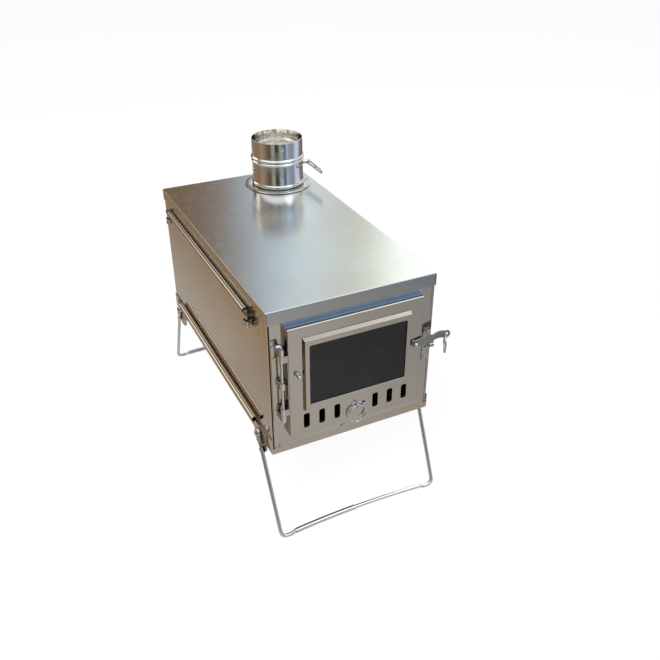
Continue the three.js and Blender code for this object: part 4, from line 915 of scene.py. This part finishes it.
class BuildFittings(bpy.types.Operator):
    """Makes the hinge, the latch, the studs and both split rings"""

    bl_idname = "stove.fittings"
    bl_label = "Hinge and latch"

    def execute(self, context):
        low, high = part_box("frame_hinge_leaf")
        places = [Vector((low.x + mm(2.5), mm(TRAY_FACE), z)) for z in (low.z + mm(13.44), high.z - mm(13.44))]
        leaf_heads = rivet_heads("bright_fitting", places, (0, -1, 0), mm(1.6), mm(1.0))
        pin_low, pin_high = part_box("hinge_pin")
        axis = Vector((pin_high.x - mm(PIN_RADIUS), (pin_low.y + pin_high.y) / 2, 0))
        fixed = dressed_sheet(
            "hinge_leaf_fixed", "frame_hinge_leaf", "bright_sheet", mm(0.14), heads=[leaf_heads]
        )
        moving = dressed_sheet("hinge_leaf_moving", "door_hinge_leaf", "bright_sheet", mm(0.14))
        for leaf in (fixed, moving):
            trim(leaf, "bright_fitting", lambda face: (face.center - axis).xy.length < mm(3.3))
        keeper_head = rivet_heads("bright_fitting", [at(93.6, TRAY_FACE, 185.6)], (0, -1, 0))
        dressed_sheet(
            "latch_keeper", "latch_catch", "bright_sheet", mm(0.16), heads=[keeper_head]
        )
        self.lever()
        self.stud("window_stud", -1, 0.6)
        self.stud("latch_stud", 1, 3.6)
        self.pin()
        self.split_ring("latch_split_ring", "latch_ring", at(113.5, -200.85, 205.8), (0.866, -0.5, 0))
        self.split_ring("slider_split_ring", "slider_ring", at(0, -201.4, 141.8), (0, 1, 0))
        return {"FINISHED"}

    def lever(self):
        """The latch arm: a boss, a deep middle with a step, and a curved tail with a ring hole."""
        outline = arc(0, 0, 4.5, math.pi / 2, 1.5 * math.pi, 20)
        outline += [(16.3, -4.8), (25.3, -5.6), (25.3, -2.2)]
        outline += curve((25.3, -2.2), (32.0, 1.0), (40.2, -3.3))[:-1]
        outline += arc(42.3, 1.6, 5.2, -1.9, 1.9, 26)
        outline += curve(outline[-1], (32.0, 10.5), (25.3, 6.0))
        outline += [(21.4, 6.2), (19.6, 8.2), (13.4, 6.4)]
        holes = [round_hole(0, 0, mm(1.9)), round_hole(mm(42.3), mm(1.6), mm(2.4))]
        work = bmesh.new()
        plate(work, mm_points(outline), holes, Matrix.Translation(at(STUD_X, -200.1, STUD_Z)) @ FRONTWARD, mm(1.5))
        piece = object_from("latch_lever", work, 35.0)
        soften(piece, mm(0.3), 3)
        settle(piece, "satin_fitting", "latch_arm")

    def stud(self, node, side, collar):
        """A door stud: washer, shank and a domed head, clinched inside."""
        work = bmesh.new()
        place = at(side * STUD_X, DOOR_FACE, STUD_Z)
        washer = band_profile(*map(mm, (1.5, 3.8, 0.3, 1.3, 0.3)))
        turned(work, washer, (0, -1, 0), place, 40, True)
        shank = rounded_profile(mm(1.6), mm(-4.6), mm(collar + 0.6), mm(0.2))
        turned(work, shank, (0, -1, 0), place, 28)
        back = rounded_profile(mm(3.2), mm(-5.2), mm(-4.2), mm(0.35))
        turned(work, back, (0, -1, 0), place, 32)
        head = [(0, mm(collar)), (mm(2.3), mm(collar)), (mm(2.6), mm(collar + 0.3)), (mm(2.6), mm(5.2))]
        head += [(mm(2.6 * math.cos(t)), mm(5.2 + 2.5 * math.sin(t))) for t in (i * math.pi / 20 for i in range(1, 10))]
        head.append((0, mm(7.7)))
        turned(work, head, (0, -1, 0), place, 36)
        piece = gather(f"{node}_turned", work)
        settle(piece, "bright_fitting", node)

    def pin(self):
        """The hinge pin, its top bent over to lift it by."""
        low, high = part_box("hinge_pin")
        x, y = high.x - mm(PIN_RADIUS), (low.y + high.y) / 2
        top = high.z - mm(PIN_RADIUS)
        path = bent([(x, y, low.z), (x, y, top), (low.x, y, top)], mm(2))
        piece = gather("hooked_pin", bmesh.new(), wire("bright_fitting", path, mm(PIN_RADIUS), 20))
        soften(piece, mm(0.35), 3, 60)
        settle(piece, "bright_fitting", "hinge_pin")

    def split_ring(self, name, node, middle, axis):
        """Two turns of round wire lying side by side, crossing over once."""
        coil = bpy.context.scene.stove_sizes.coil_wire
        turn = along(axis, middle)
        path = []
        count = 128
        for i in range(count + 1):
            t = 2 * i / count
            cross = min(max((t - 0.93) / 0.14, 0.0), 1.0)
            cross = cross * cross * (3 - 2 * cross)
            angle = 2 * math.pi * t
            u, v = mm(RING_RADIUS) * math.cos(angle), mm(RING_RADIUS) * math.sin(angle)
            path.append(turn @ Vector((u, v, coil * (2 * cross - 1))))
        piece = gather(name, bmesh.new(), wire("bright_fitting", path, coil * 0.98, 12))
        settle(piece, "bright_fitting", node)


class BuildFlue(bpy.types.Operator):
    """Makes the flue collar, its flange, the damper and its handle"""

    bl_idname = "stove.flue"
    bl_label = "Flue and damper"

    def execute(self, context):
        flue = centre("flue_collar")
        self.base = Vector((flue.x, flue.y, TOP))
        self.collar()
        self.flange()
        self.damper()
        self.handle()
        return {"FINISHED"}

    def collar(self):
        """A rolled collar with one bead below, a double bead above and a rounded rim."""
        outer = [(FLUE_RADIUS, -FLUE_TUCK)]
        for level, height, rise in FLUE_BEADS:
            for i in range(13):
                t = i / 12
                outer.append((FLUE_RADIUS + rise * math.sin(math.pi * t) ** 1.25, level + (t - 0.5) * height))
        inner = [(radius - FLUE_WALL, level) for radius, level in reversed(outer)]
        rim = arc(FLUE_RADIUS - RIM_CORNER, FLUE_HEIGHT - RIM_CORNER, RIM_CORNER, 0, math.pi, 6)
        work = bmesh.new()
        turned(work, mm_points(outer + rim + inner), (0, 0, 1), self.base, 144, True)
        piece = object_from("flue_tube", work, 35.0)
        settle(piece, "flue_sheet", "flue_collar")
        trim(piece, "flue_bore", lambda face: (face.center - self.base).xy.dot(face.normal.xy) < 0)

    def flange(self):
        """The ring round the collar's foot and its four rivets."""
        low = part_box("flue_flange")[0].z - TOP
        work = bmesh.new()
        ring = band_profile(mm(35.3), mm(46.3), low, low + SHEET, mm(0.12))
        turned(work, ring, (0, 0, 1), self.base, 96, True)
        places = []
        for degrees in (79.4, 169.4, 259.4, 349.4):
            turn = math.radians(degrees)
            places.append(self.base + Vector((mm(41.5) * math.cos(turn), mm(41.5) * math.sin(turn), low + SHEET)))
        piece = gather("flue_ring", work, rivet_heads("bright_fitting", places, (0, 0, 1)))
        settle(piece, "lid_sheet", "flue_flange")

    def damper(self):
        """The damper's disc and the shaft that turns it, its left end upset into an eyelet."""
        low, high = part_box("damper_plate")
        work = bmesh.new()
        disc = rounded_profile((high.x - low.x) / 2, 0, high.z - low.z, mm(0.35))
        turned(work, disc, (0, 0, 1), Vector((self.base.x, self.base.y, low.z)), 72)
        piece = gather("damper_disc", work)
        settle(piece, "flue_bore", "damper_plate")
        low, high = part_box("damper_shaft")
        axis = Vector((low.x, self.base.y, (low.z + high.z) / 2))
        work = bmesh.new()
        length = high.x - low.x
        spindle = [(0, mm(0.9)), (mm(1.2), mm(0.9)), (mm(1.5), mm(0.15)), (mm(2.1), 0), (mm(2.9), mm(0.15)),
                   (mm(3.2), mm(0.6)), (mm(3.1), mm(1.1)), (mm(2), mm(1.25)), (mm(2), length - mm(0.5)),
                   (mm(1.5), length), (0, length)]
        turned(work, spindle, (1, 0, 0), axis, 32)
        piece = gather("damper_spindle", work)
        settle(piece, "bright_fitting", "damper_shaft")

    def handle(self):
        """A turned hub with a long flat wire loop and a cross rib half way along it."""
        low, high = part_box("damper_handle")
        y, z = self.base.y, TOP + mm(DAMPER_RISE)
        work = bmesh.new()
        hub = band_profile(mm(2.3), mm(3.1), 0, mm(10), mm(0.4))
        turned(work, hub, (1, 0, 0), Vector((low.x, y, z)), 32, True)
        x = low.x + mm(8.5)
        tilt = math.radians(1.6)

        def on_loop(out, up):
            """A point of the loop: `out` from the hub and `up` from its middle line."""
            return Vector((x, y + mm(-out * math.cos(tilt) - up * math.sin(tilt)),
                           z + mm(up * math.cos(tilt) - out * math.sin(tilt))))
        loop = bent([on_loop(1.5, 2.5), on_loop(45.5, 1.9), on_loop(45.5, -1.9), on_loop(1.5, -2.5)], mm(1.8))
        rib = [on_loop(25, -2.1), on_loop(25, 2.1)]
        piece = gather(
            "damper_loop", work, wire("bright_fitting", loop, mm(1.2), 14), wire("bright_fitting", rib, mm(1.0), 12)
        )
        settle(piece, "bright_fitting", "damper_handle")


class BuildClamps(bpy.types.Operator):
    """Makes the clamp rods, bolts, nuts and tabs"""

    bl_idname = "stove.clamps"
    bl_label = "Lid clamps"

    def execute(self, context):
        for side in ("left", "right"):
            self.long_rod(side)
            for end in ("front", "rear"):
                place = f"{end}_{side}"
                bolt = centre(f"{place}_swing_bolt")
                eye = Vector((bolt.x, bolt.y, mm(CLAMP_ROD_Z)))
                self.bolt(place, eye)
                self.nut(place, eye - mm(0, 0, NUT_DROP))
                # The tabs are near-black: painted shade and dark reflection.
                dressed_sheet(f"{place}_tab", f"{place}_clamp_tab", "shade_dark_fitting", mm(0.2))
        return {"FINISHED"}

    def long_rod(self, side):
        """The rod inside a lid roll, with a head at each end."""
        node = f"{side}_clamp_rod"
        low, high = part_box(node)
        work = bmesh.new()
        length = high.y - low.y
        profile = [(0, 0), (mm(2.4), 0), (mm(2.9), mm(0.3)), (mm(2.9), mm(0.8)), (mm(2.1), mm(0.85)),
                   (mm(2.1), length - mm(0.85)), (mm(2.9), length - mm(0.8)), (mm(2.9), length - mm(0.3)),
                   (mm(2.4), length), (0, length)]
        turned(work, profile, (0, 1, 0), Vector(((low.x + high.x) / 2, low.y, (low.z + high.z) / 2)), 28)
        piece = gather(f"{side}_long_rod", work)
        # The rod is near-black: painted shade in the lid roll's open ends.
        settle(piece, "shade_dark_fitting", node)

    def bolt(self, place, eye):
        """A swing bolt: a rounded eye and a threaded shank."""
        node = f"{place}_swing_bolt"
        sizes = bpy.context.scene.stove_sizes
        work = bmesh.new()
        turned(work, band_profile(*map(mm, (2.4, 3.2, -2, 2, 0.38))), (0, 1, 0), eye, 36, True)
        neck = rounded_profile(mm(1.25), mm(2.6), mm(4.2), mm(0.2))
        turned(work, neck, (0, 0, -1), eye, 24)
        shank = grow("shank", "thread", "bright_fitting", [eye - mm(0, 0, 4.0)],
                     Radius=mm(1.3), Length=mm(14.9), Pitch=sizes.thread_pitch)
        piece = gather(f"{place}_bolt", work, shank)
        settle(piece, "bright_fitting", node)
        # The eye's top is near-black: painted shade and dark reflection.
        trim(piece, "shade_dark_fitting", lambda face: face.center.z > eye.z - mm(2.9))

    def nut(self, place, top):
        """A thumb nut: a dished flange, its top near-black for painted shade, over a tall scalloped grip."""
        node = f"{place}_clamp_nut"
        sizes = bpy.context.scene.stove_sizes
        work = bmesh.new()
        flange = [(1.6, 0), (3.4, 0), (4.1, -0.2), (4.3, -0.6), (4.1, -1.0), (3.0, -1.2), (2.2, -1.5), (2.2, -1.9),
                  (3.0, -2.2), (3.4, -2.7), (3.4, -8.6), (3.1, -9.3), (2.3, -9.7), (1.6, -9.7)]
        turned(work, mm_points(flange), (0, 0, 1), top, 40, True)
        grips = grow(
            "grips", "scallops", "bright_fitting", [top - mm(0, 0, 5.7)],
            Radius=mm(3.35), Roll=mm(0.9), Height=mm(6.6), Count=sizes.knurls,
        )
        piece = gather(f"{place}_nut", work, grips)
        settle(piece, "bright_fitting", node)
        # The flange's top is near-black: painted shade.
        trim(piece, "shade_dark_fitting", lambda face: face.center.z > top.z - mm(1.7))


def leg_point(end, x, down):
    """A point `down` the leg from its pivot."""
    y, z = LEG_PIVOT
    return at(x, end * (y + down * math.sin(LEG_LEAN)), z - down * math.cos(LEG_LEAN))


def bar_point(end, x):
    """A point of the floor bar: level at the foot, a kink up, then a slow rise to the middle."""
    inward = FOOT_SIDE - abs(x)
    kink = min(max((inward - FOOT_FLAT) / (KINK_END - FOOT_FLAT), 0), 1)
    bow = min(max((inward - KINK_END) / (FOOT_SIDE - KINK_END), 0), 1)
    return leg_point(end, x, LEG_LENGTH - kink * KINK_RISE - (1 - (1 - bow) ** 2) * BOW_RISE)


class BuildLegs(bpy.types.Operator):
    """Makes both wire legs, their sleeves and the brackets that carry them"""

    bl_idname = "stove.legs"
    bl_label = "Legs"

    def execute(self, context):
        for end, name in ((-1, "front"), (1, "rear")):
            middle = sum(SLEEVE_SPAN) / 2
            self.half(end, -1, f"{name}_leg_left", middle - 0.15)
            self.half(end, 1, f"{name}_leg_right", middle + 0.15)
            self.sleeve(end, f"{name}_leg_sleeve")
            for side in (-1, 1):
                self.ear(side, end, f"{name}_{'left' if side < 0 else 'right'}_leg_bracket")
        return {"FINISHED"}

    def half(self, end, side, node, last):
        """One J-shaped wire with its eye and two collars under it."""
        corner = leg_point(end, side * FOOT_SIDE, LEG_LENGTH)
        flat_end = bar_point(end, side * (FOOT_SIDE - FOOT_FLAT))
        path = bent([leg_point(end, side * LEG_SIDE, 4.4), corner, flat_end], mm(8))
        start = side * (FOOT_SIDE - KINK_END)
        path += [bar_point(end, start + (last - start) * i / 24) for i in range(25)]
        work = bmesh.new()
        pivot = at(side * LEG_SIDE, end * LEG_PIVOT[0], LEG_PIVOT[1])
        turned(work, band_profile(mm(2.3), mm(5.4), mm(-2.3), mm(2.3), mm(1.3), 5), (1, 0, 0), pivot, 40, True)
        down = leg_point(end, side * LEG_SIDE, 1) - leg_point(end, side * LEG_SIDE, 0)
        for start, outer in ((6.4, 3.3), (19.5, 2.9)):
            collar = band_profile(mm(2.2), mm(outer), mm(start), mm(start + 3), mm(0.5))
            turned(work, collar, down, pivot, 28, True)
        piece = gather(f"{node}_wire", work, wire("leg_wire", path, mm(LEG_WIRE), 20))
        for vertex in piece.data.vertices:
            vertex.co.z = max(vertex.co.z, 0.0)
        settle(piece, "leg_wire", node)

    def sleeve(self, end, node):
        """The tube that joins the two wires on the floor."""
        first, last = SLEEVE_SPAN
        path = [bar_point(end, first + (last - first) * i / 24) for i in range(25)]
        side_on = (leg_point(end, 0, 1) - leg_point(end, 0, 0)).cross(Vector((1, 0, 0))).normalized()
        part = bmesh.new()
        loops = []
        for i, point in enumerate(path):
            ahead = (path[min(i + 1, 24)] - path[max(i - 1, 0)]).normalized()
            up = side_on.cross(ahead).normalized()
            for radius in (mm(2.6), mm(3.1)):
                ring = []
                for k in range(24):
                    turn = 2 * math.pi * k / 24
                    ring.append(part.verts.new(point + (side_on * math.cos(turn) + up * math.sin(turn)) * radius))
                loops.append(ring)
        pairs = [(loops[0], loops[1]), (loops[-2], loops[-1])]
        pairs += [(loops[i], loops[i + 2]) for i in range(len(loops) - 2)]
        for near, far in pairs:
            for k in range(24):
                part.faces.new((near[k - 1], near[k], far[k], far[k - 1]))
        facing_out(part)
        piece = object_from(f"{node}_tube", part, 35.0)
        soften(piece, mm(0.15))
        settle(piece, "leg_wire", node)

    def ear(self, side, end, node):
        """A bracket ear with its curved lug, the pivot stud and the stop that the leg leans on."""
        outline = [(-18.5, 126.1), (-18.5, 105.0)]
        outline += curve(outline[-1], (-16.5, 97.0), (-5.7, 93.7), 12)
        outline += curve(outline[-1], (-1.5, 92.5), (4.5, 92.5), 6)
        outline += curve(outline[-1], (8.0, 92.6), (12.5, 98.6), 8)
        outline += [(18.5, 104.6), (18.5, 126.1)]
        loop = [(mm(end * (LEG_PIVOT[0] + u)), mm(v)) for u, v in outline]
        work = bmesh.new()
        inner = 102.3 if side > 0 else -103.5
        plate(work, loop, (), Matrix.Translation((MIDDLE + mm(inner), 0, 0)) @ SIDEWARD, mm(1.2))
        pivot = at(side * 103.4, end * LEG_PIVOT[0], LEG_PIVOT[1])
        stud = [(0, 0), (2.0, 0), (2.0, 5.25), (3.4, 5.3), (3.7, 5.6), (3.6, 6.0), (3.1, 6.3), (2.3, 6.4),
                (1.9, 6.2), (1.8, 3.5), (0, 3.4)]
        turned(work, mm_points(stud), (side, 0, 0), pivot, 32)
        stop_y, stop_z = LEG_PIVOT[0] + STOP_SET, LEG_PIVOT[1] - STOP_DROP
        bar = [(u * math.cos(LEG_LEAN) - v * math.sin(LEG_LEAN), u * math.sin(LEG_LEAN) + v * math.cos(LEG_LEAN))
               for u, v in ((-0.7, 2.5), (0.7, 2.5), (0.7, -2.5), (-0.7, -2.5))]
        bar = [(mm(end * (stop_y - u)), mm(stop_z + v)) for u, v in bar]
        start = 102.5 if side > 0 else -106.1
        plate(work, bar, (), Matrix.Translation((MIDDLE + mm(start), 0, 0)) @ SIDEWARD, mm(3.6))
        piece = gather(f"{node}_ear", work)
        soften(piece, mm(0.2))
        settle(piece, "bracket_sheet", node)
        # The stud's head is bright metal. Its hollow is near-black: painted shade in a recess.
        piece.data.materials.append(FINISHES["bright_fitting"])
        piece.data.materials.append(FINISHES["shade_dark_fitting"])
        for face in piece.data.polygons:
            reach = (face.center - pivot).yz.length
            out = (face.center.x - pivot.x) * side
            if reach < mm(4) and out > mm(2):
                face.material_index = 2 if reach < mm(1.95) else 1


class BuildStage(bpy.types.Operator):
    """Sets the floor, the light, the room that bright metal mirrors, and the camera"""

    bl_idname = "stove.stage"
    bl_label = "Stage"

    def execute(self, context):
        scene = context.scene
        stage = scene.stove_stage
        work = bmesh.new()
        bmesh.ops.create_grid(work, x_segments=8, y_segments=8, size=9.0)
        floor = object_from("floor", work, None)
        floor.data.materials.append(floor_finish(tuple(stage.floor), stage.shadow))
        scene.world = room(stage.fill)
        soft_lamp("key", (-1.3, -1.2, 2.3), (0, 0, 0.2), 1.6, stage.key)
        soft_lamp("far", (1.6, 0.6, 2.0), (0, 0, 0.2), 1.2, stage.key * 0.15)
        lens = bpy.data.cameras.new("photo_camera")
        lens.sensor_width = SENSOR
        lens.lens = SENSOR * FOCAL_PIXELS / PHOTO_PIXELS
        lens.clip_start, lens.clip_end = 0.02, 60.0
        camera = bpy.data.objects.new("photo_camera", lens)
        camera.location = mm(*CAMERA_PLACE)
        camera.rotation_mode = "QUATERNION"
        camera.rotation_quaternion = Vector(CAMERA_AIM).to_track_quat("-Z", "Y")
        scene.collection.objects.link(camera)
        scene.camera = camera
        scene.view_settings.view_transform = "Standard"
        return {"FINISHED"}


def floor_finish(colour, shadow):
    """A plain pale floor: the camera sees it white with a soft shadow, and mirrors see its near part."""
    material = bpy.data.materials.new("floor")
    material.use_nodes = True
    tree = material.node_tree
    tree.nodes.clear()
    out = put(tree, "ShaderNodeOutputMaterial")
    place = put(tree, "ShaderNodeSeparateXYZ", {0: put(tree, "ShaderNodeTexCoord").outputs["Object"]}).outputs
    warm = spread(tree, place["X"], -0.12, -0.30)
    tinted = blended(tree, warm, colour, (0.60, 0.445, 0.275, 1))
    cool = spread(tree, place["X"], 0.05, 0.30)
    tinted = blended(tree, cool, tinted, (0.62, 0.63, 0.64, 1))
    plain = put(tree, "ShaderNodeBsdfDiffuse", {"Color": tinted})
    far = spread(tree, arithmetic(tree, "ABSOLUTE", place["X"]), 0.36, 0.42)
    gone = put(tree, "ShaderNodeBsdfTransparent")
    path = put(tree, "ShaderNodeLightPath")
    beyond = arithmetic(tree, "MULTIPLY", far, path.outputs["Is Glossy Ray"])
    near = put(tree, "ShaderNodeMixShader", {0: beyond, 1: plain.outputs[0], 2: gone.outputs[0]})
    white = put(tree, "ShaderNodeEmission", {"Color": (1, 1, 1, 1), "Strength": 1.0})
    seen = put(tree, "ShaderNodeBsdfDiffuse", {"Color": (1, 1, 1, 1)})
    lift = put(tree, "ShaderNodeEmission", {"Color": (1, 1, 1, 1), "Strength": 0.5})
    lifted = put(tree, "ShaderNodeAddShader", {0: seen.outputs[0], 1: lift.outputs[0]})
    shaded = put(tree, "ShaderNodeMixShader", {0: shadow, 1: white.outputs[0], 2: lifted.outputs[0]})
    mixed = put(
        tree, "ShaderNodeMixShader",
        {0: path.outputs["Is Camera Ray"], 1: near.outputs[0], 2: shaded.outputs[0]},
    )
    tree.links.new(mixed.outputs[0], out.inputs["Surface"])
    return material


# Bands of the room in front of the stove: degrees right of the camera's side, colour.
FRONT_BANDS = (
    (-180, (0.36, 0.25, 0.18)), (-143, (0.37, 0.25, 0.17)), (-91, (0.32, 0.205, 0.13)), (-67, (0.43, 0.30, 0.21)),
    (-47, (0.24, 0.18, 0.125)), (-37, (0.14, 0.115, 0.08)), (-27, (0.14, 0.12, 0.09)), (-18, (0.42, 0.39, 0.31)),
    (-10, (0.40, 0.38, 0.32)), (-4, (0.05, 0.057, 0.045)), (4, (0.05, 0.057, 0.05)), (10, (0.15, 0.17, 0.155)),
    (17, (0.47, 0.52, 0.49)), (27, (0.42, 0.50, 0.53)), (34, (0.10, 0.16, 0.26)), (40, (0.14, 0.20, 0.31)),
    (47, (0.46, 0.62, 0.86)), (56, (0.36, 0.41, 0.51)), (67, (0.34, 0.38, 0.44)), (80, (0.34, 0.36, 0.43)),
    (89, (0.64, 0.75, 1.00)), (108, (0.70, 0.84, 1.10)), (119, (0.34, 0.32, 0.36)), (143, (0.21, 0.17, 0.16)),
    (180, (0.16, 0.12, 0.10)),
)
# Bands behind it: degrees right of the camera's aim, colour.
BACK_BANDS = (
    (-180, (0.25, 0.18, 0.13)), (-30, (0.25, 0.16, 0.10)), (-10, (0.23, 0.14, 0.075)), (-7, (0.42, 0.43, 0.44)),
    (-5, (0.62, 0.80, 0.97)), (-2.5, (1.02, 1.14, 1.18)), (1.5, (0.72, 0.70, 0.60)), (3.5, (0.70, 0.66, 0.52)),
    (6, (1.72, 1.85, 1.72)), (14, (1.70, 1.78, 1.66)), (26, (0.98, 0.97, 0.92)), (180, (0.90, 0.90, 0.88)),
)
# Soft lights: azimuth from the camera's aim, elevation and reach in degrees, colour.
SOFT_LIGHTS = (
    (128, 32, 15, (0.50, 0.78, 1.15)),
    (-60, 24, 20, (1.75, 1.70, 1.58)),
    (117, 52, 20, (2.4, 2.4, 2.45)),
)
CAMERA_PLACE = (-333.0, -799.7, 678.6)
CAMERA_AIM = (0.373, 0.762, -0.528)
CAMERA_AZIMUTH = math.atan2(CAMERA_AIM[1], CAMERA_AIM[0])
SENSOR, FOCAL_PIXELS, PHOTO_PIXELS = 36.0, 751.45, 660


def direction(azimuth, elevation):
    """A direction from degrees right of the camera's aim and degrees up."""
    turn = CAMERA_AZIMUTH - math.radians(azimuth)
    level = math.cos(math.radians(elevation))
    return Vector((level * math.cos(turn), level * math.sin(turn), math.sin(math.radians(elevation))))


def bands(tree, turn, stops):
    """Colours along an angle in radians, from (degrees, colour) stops."""
    ramp = put(tree, "ShaderNodeValToRGB", {"Fac": arithmetic(tree, "MULTIPLY_ADD", turn, 0.5 / math.pi, 0.5)})
    made = ramp.color_ramp.elements
    for index, (degrees, colour) in enumerate(stops):
        place = (degrees + 180) / 360
        stop = made[index] if index < 2 else made.new(place)
        stop.position = place
        stop.color = (*colour, 1)
    return ramp.outputs["Color"]


def room(fill):
    """White to the eye, plain to matt surfaces, and a room of soft bands to bright metal."""
    world = bpy.data.worlds.new("room")
    world.use_nodes = True
    tree = world.node_tree
    tree.nodes.clear()
    out = put(tree, "ShaderNodeOutputWorld")
    aim = put(tree, "ShaderNodeTexCoord").outputs["Generated"]
    toward = direction(180, 0)
    right = direction(90, 0)
    ahead = dot(tree, aim, toward)
    across = dot(tree, aim, right)
    turn = arithmetic(tree, "ARCTAN2", across, ahead)
    height = put(tree, "ShaderNodeSeparateXYZ", {0: aim}).outputs["Z"]
    front = bands(tree, turn, FRONT_BANDS)
    front = blended(tree, spread(tree, height, 0.10, 0.35, 0.0, 0.3), front, (0.80, 0.82, 0.82, 1))
    back = bands(tree, arithmetic(tree, "ARCTAN2", across, arithmetic(tree, "MULTIPLY", ahead, -1.0)), BACK_BANDS)
    in_front = arithmetic(tree, "MAXIMUM", spread(tree, ahead, -0.35, 0.05), spread(tree, height, 0.05, -0.15))
    colour = blended(tree, in_front, back, front)
    colour = blended(tree, spread(tree, height, 0.60, 0.74), colour, (1.5, 1.52, 1.55, 1))
    colour = blended(tree, spread(tree, height, 0.84, 0.95), colour, (0.95, 0.96, 1.0, 1))
    for azimuth, elevation, reach, light in SOFT_LIGHTS:
        near = dot(tree, aim, direction(azimuth, elevation))
        mask = spread(tree, near, math.cos(math.radians(reach)), math.cos(math.radians(reach * 0.5)))
        colour = blended(tree, mask, colour, (*light, 1))
    mirrored = put(tree, "ShaderNodeBackground", {"Color": colour, "Strength": 1.0})
    plain_light = put(tree, "ShaderNodeBackground", {"Color": (1, 1, 1, 1), "Strength": fill})
    white = put(tree, "ShaderNodeBackground", {"Color": (1, 1, 1, 1), "Strength": 1.0})
    path = put(tree, "ShaderNodeLightPath")
    sharp = arithmetic(tree, "MAXIMUM", path.outputs["Is Glossy Ray"], path.outputs["Is Transmission Ray"])
    lit = put(tree, "ShaderNodeMixShader", {0: sharp, 1: plain_light.outputs[0], 2: mirrored.outputs[0]})
    seen = put(
        tree, "ShaderNodeMixShader", {0: path.outputs["Is Camera Ray"], 1: lit.outputs[0], 2: white.outputs[0]}
    )
    tree.links.new(seen.outputs[0], out.inputs["Surface"])
    return world


def soft_lamp(name, place, target, size, power):
    """A square lamp that mirrors don't show."""
    lamp = bpy.data.lights.new(name, "AREA")
    lamp.shape = "SQUARE"
    lamp.size = size
    lamp.energy = power
    held = bpy.data.objects.new(name, lamp)
    held.location = place
    held.rotation_mode = "QUATERNION"
    held.rotation_quaternion = (Vector(target) - Vector(place)).to_track_quat("-Z", "Y")
    held.visible_glossy = False
    bpy.context.scene.collection.objects.link(held)
    return held


class StovePanel(bpy.types.Panel):
    """Lists the stove's operators, sizes and colours"""

    bl_idname = "VIEW3D_PT_stove"
    bl_label = "Tent stove"
    bl_space_type = "VIEW_3D"
    bl_region_type = "UI"
    bl_category = "Stove"

    def draw(self, context):
        layout = self.layout
        for operator in OPERATORS:
            layout.operator(operator.bl_idname)
        for group in (context.scene.stove_sizes, context.scene.stove_colours, context.scene.stove_stage):
            box = layout.box()
            for name in group.__annotations__:
                box.prop(group, name)


OPERATORS = (
    BuildFinishes, BuildSheets, BuildDoor, BuildFittings, BuildFlue, BuildClamps, BuildLegs, BuildStage,
)
GROUPS = (StoveSizes, StoveColours, StoveStage)


def register():
    for kind in (*GROUPS, *OPERATORS, StovePanel):
        bpy.utils.register_class(kind)
    bpy.types.Scene.stove_sizes = PointerProperty(type=StoveSizes)
    bpy.types.Scene.stove_colours = PointerProperty(type=StoveColours)
    bpy.types.Scene.stove_stage = PointerProperty(type=StoveStage)


def unregister():
    del bpy.types.Scene.stove_sizes
    del bpy.types.Scene.stove_colours
    del bpy.types.Scene.stove_stage
    for kind in (StovePanel, *reversed(OPERATORS), *reversed(GROUPS)):
        bpy.utils.unregister_class(kind)


def main():
    register()
    for operator in OPERATORS:
        group, name = operator.bl_idname.split(".")
        getattr(getattr(bpy.ops, group), name)()


if __name__ == "__main__":
    main()
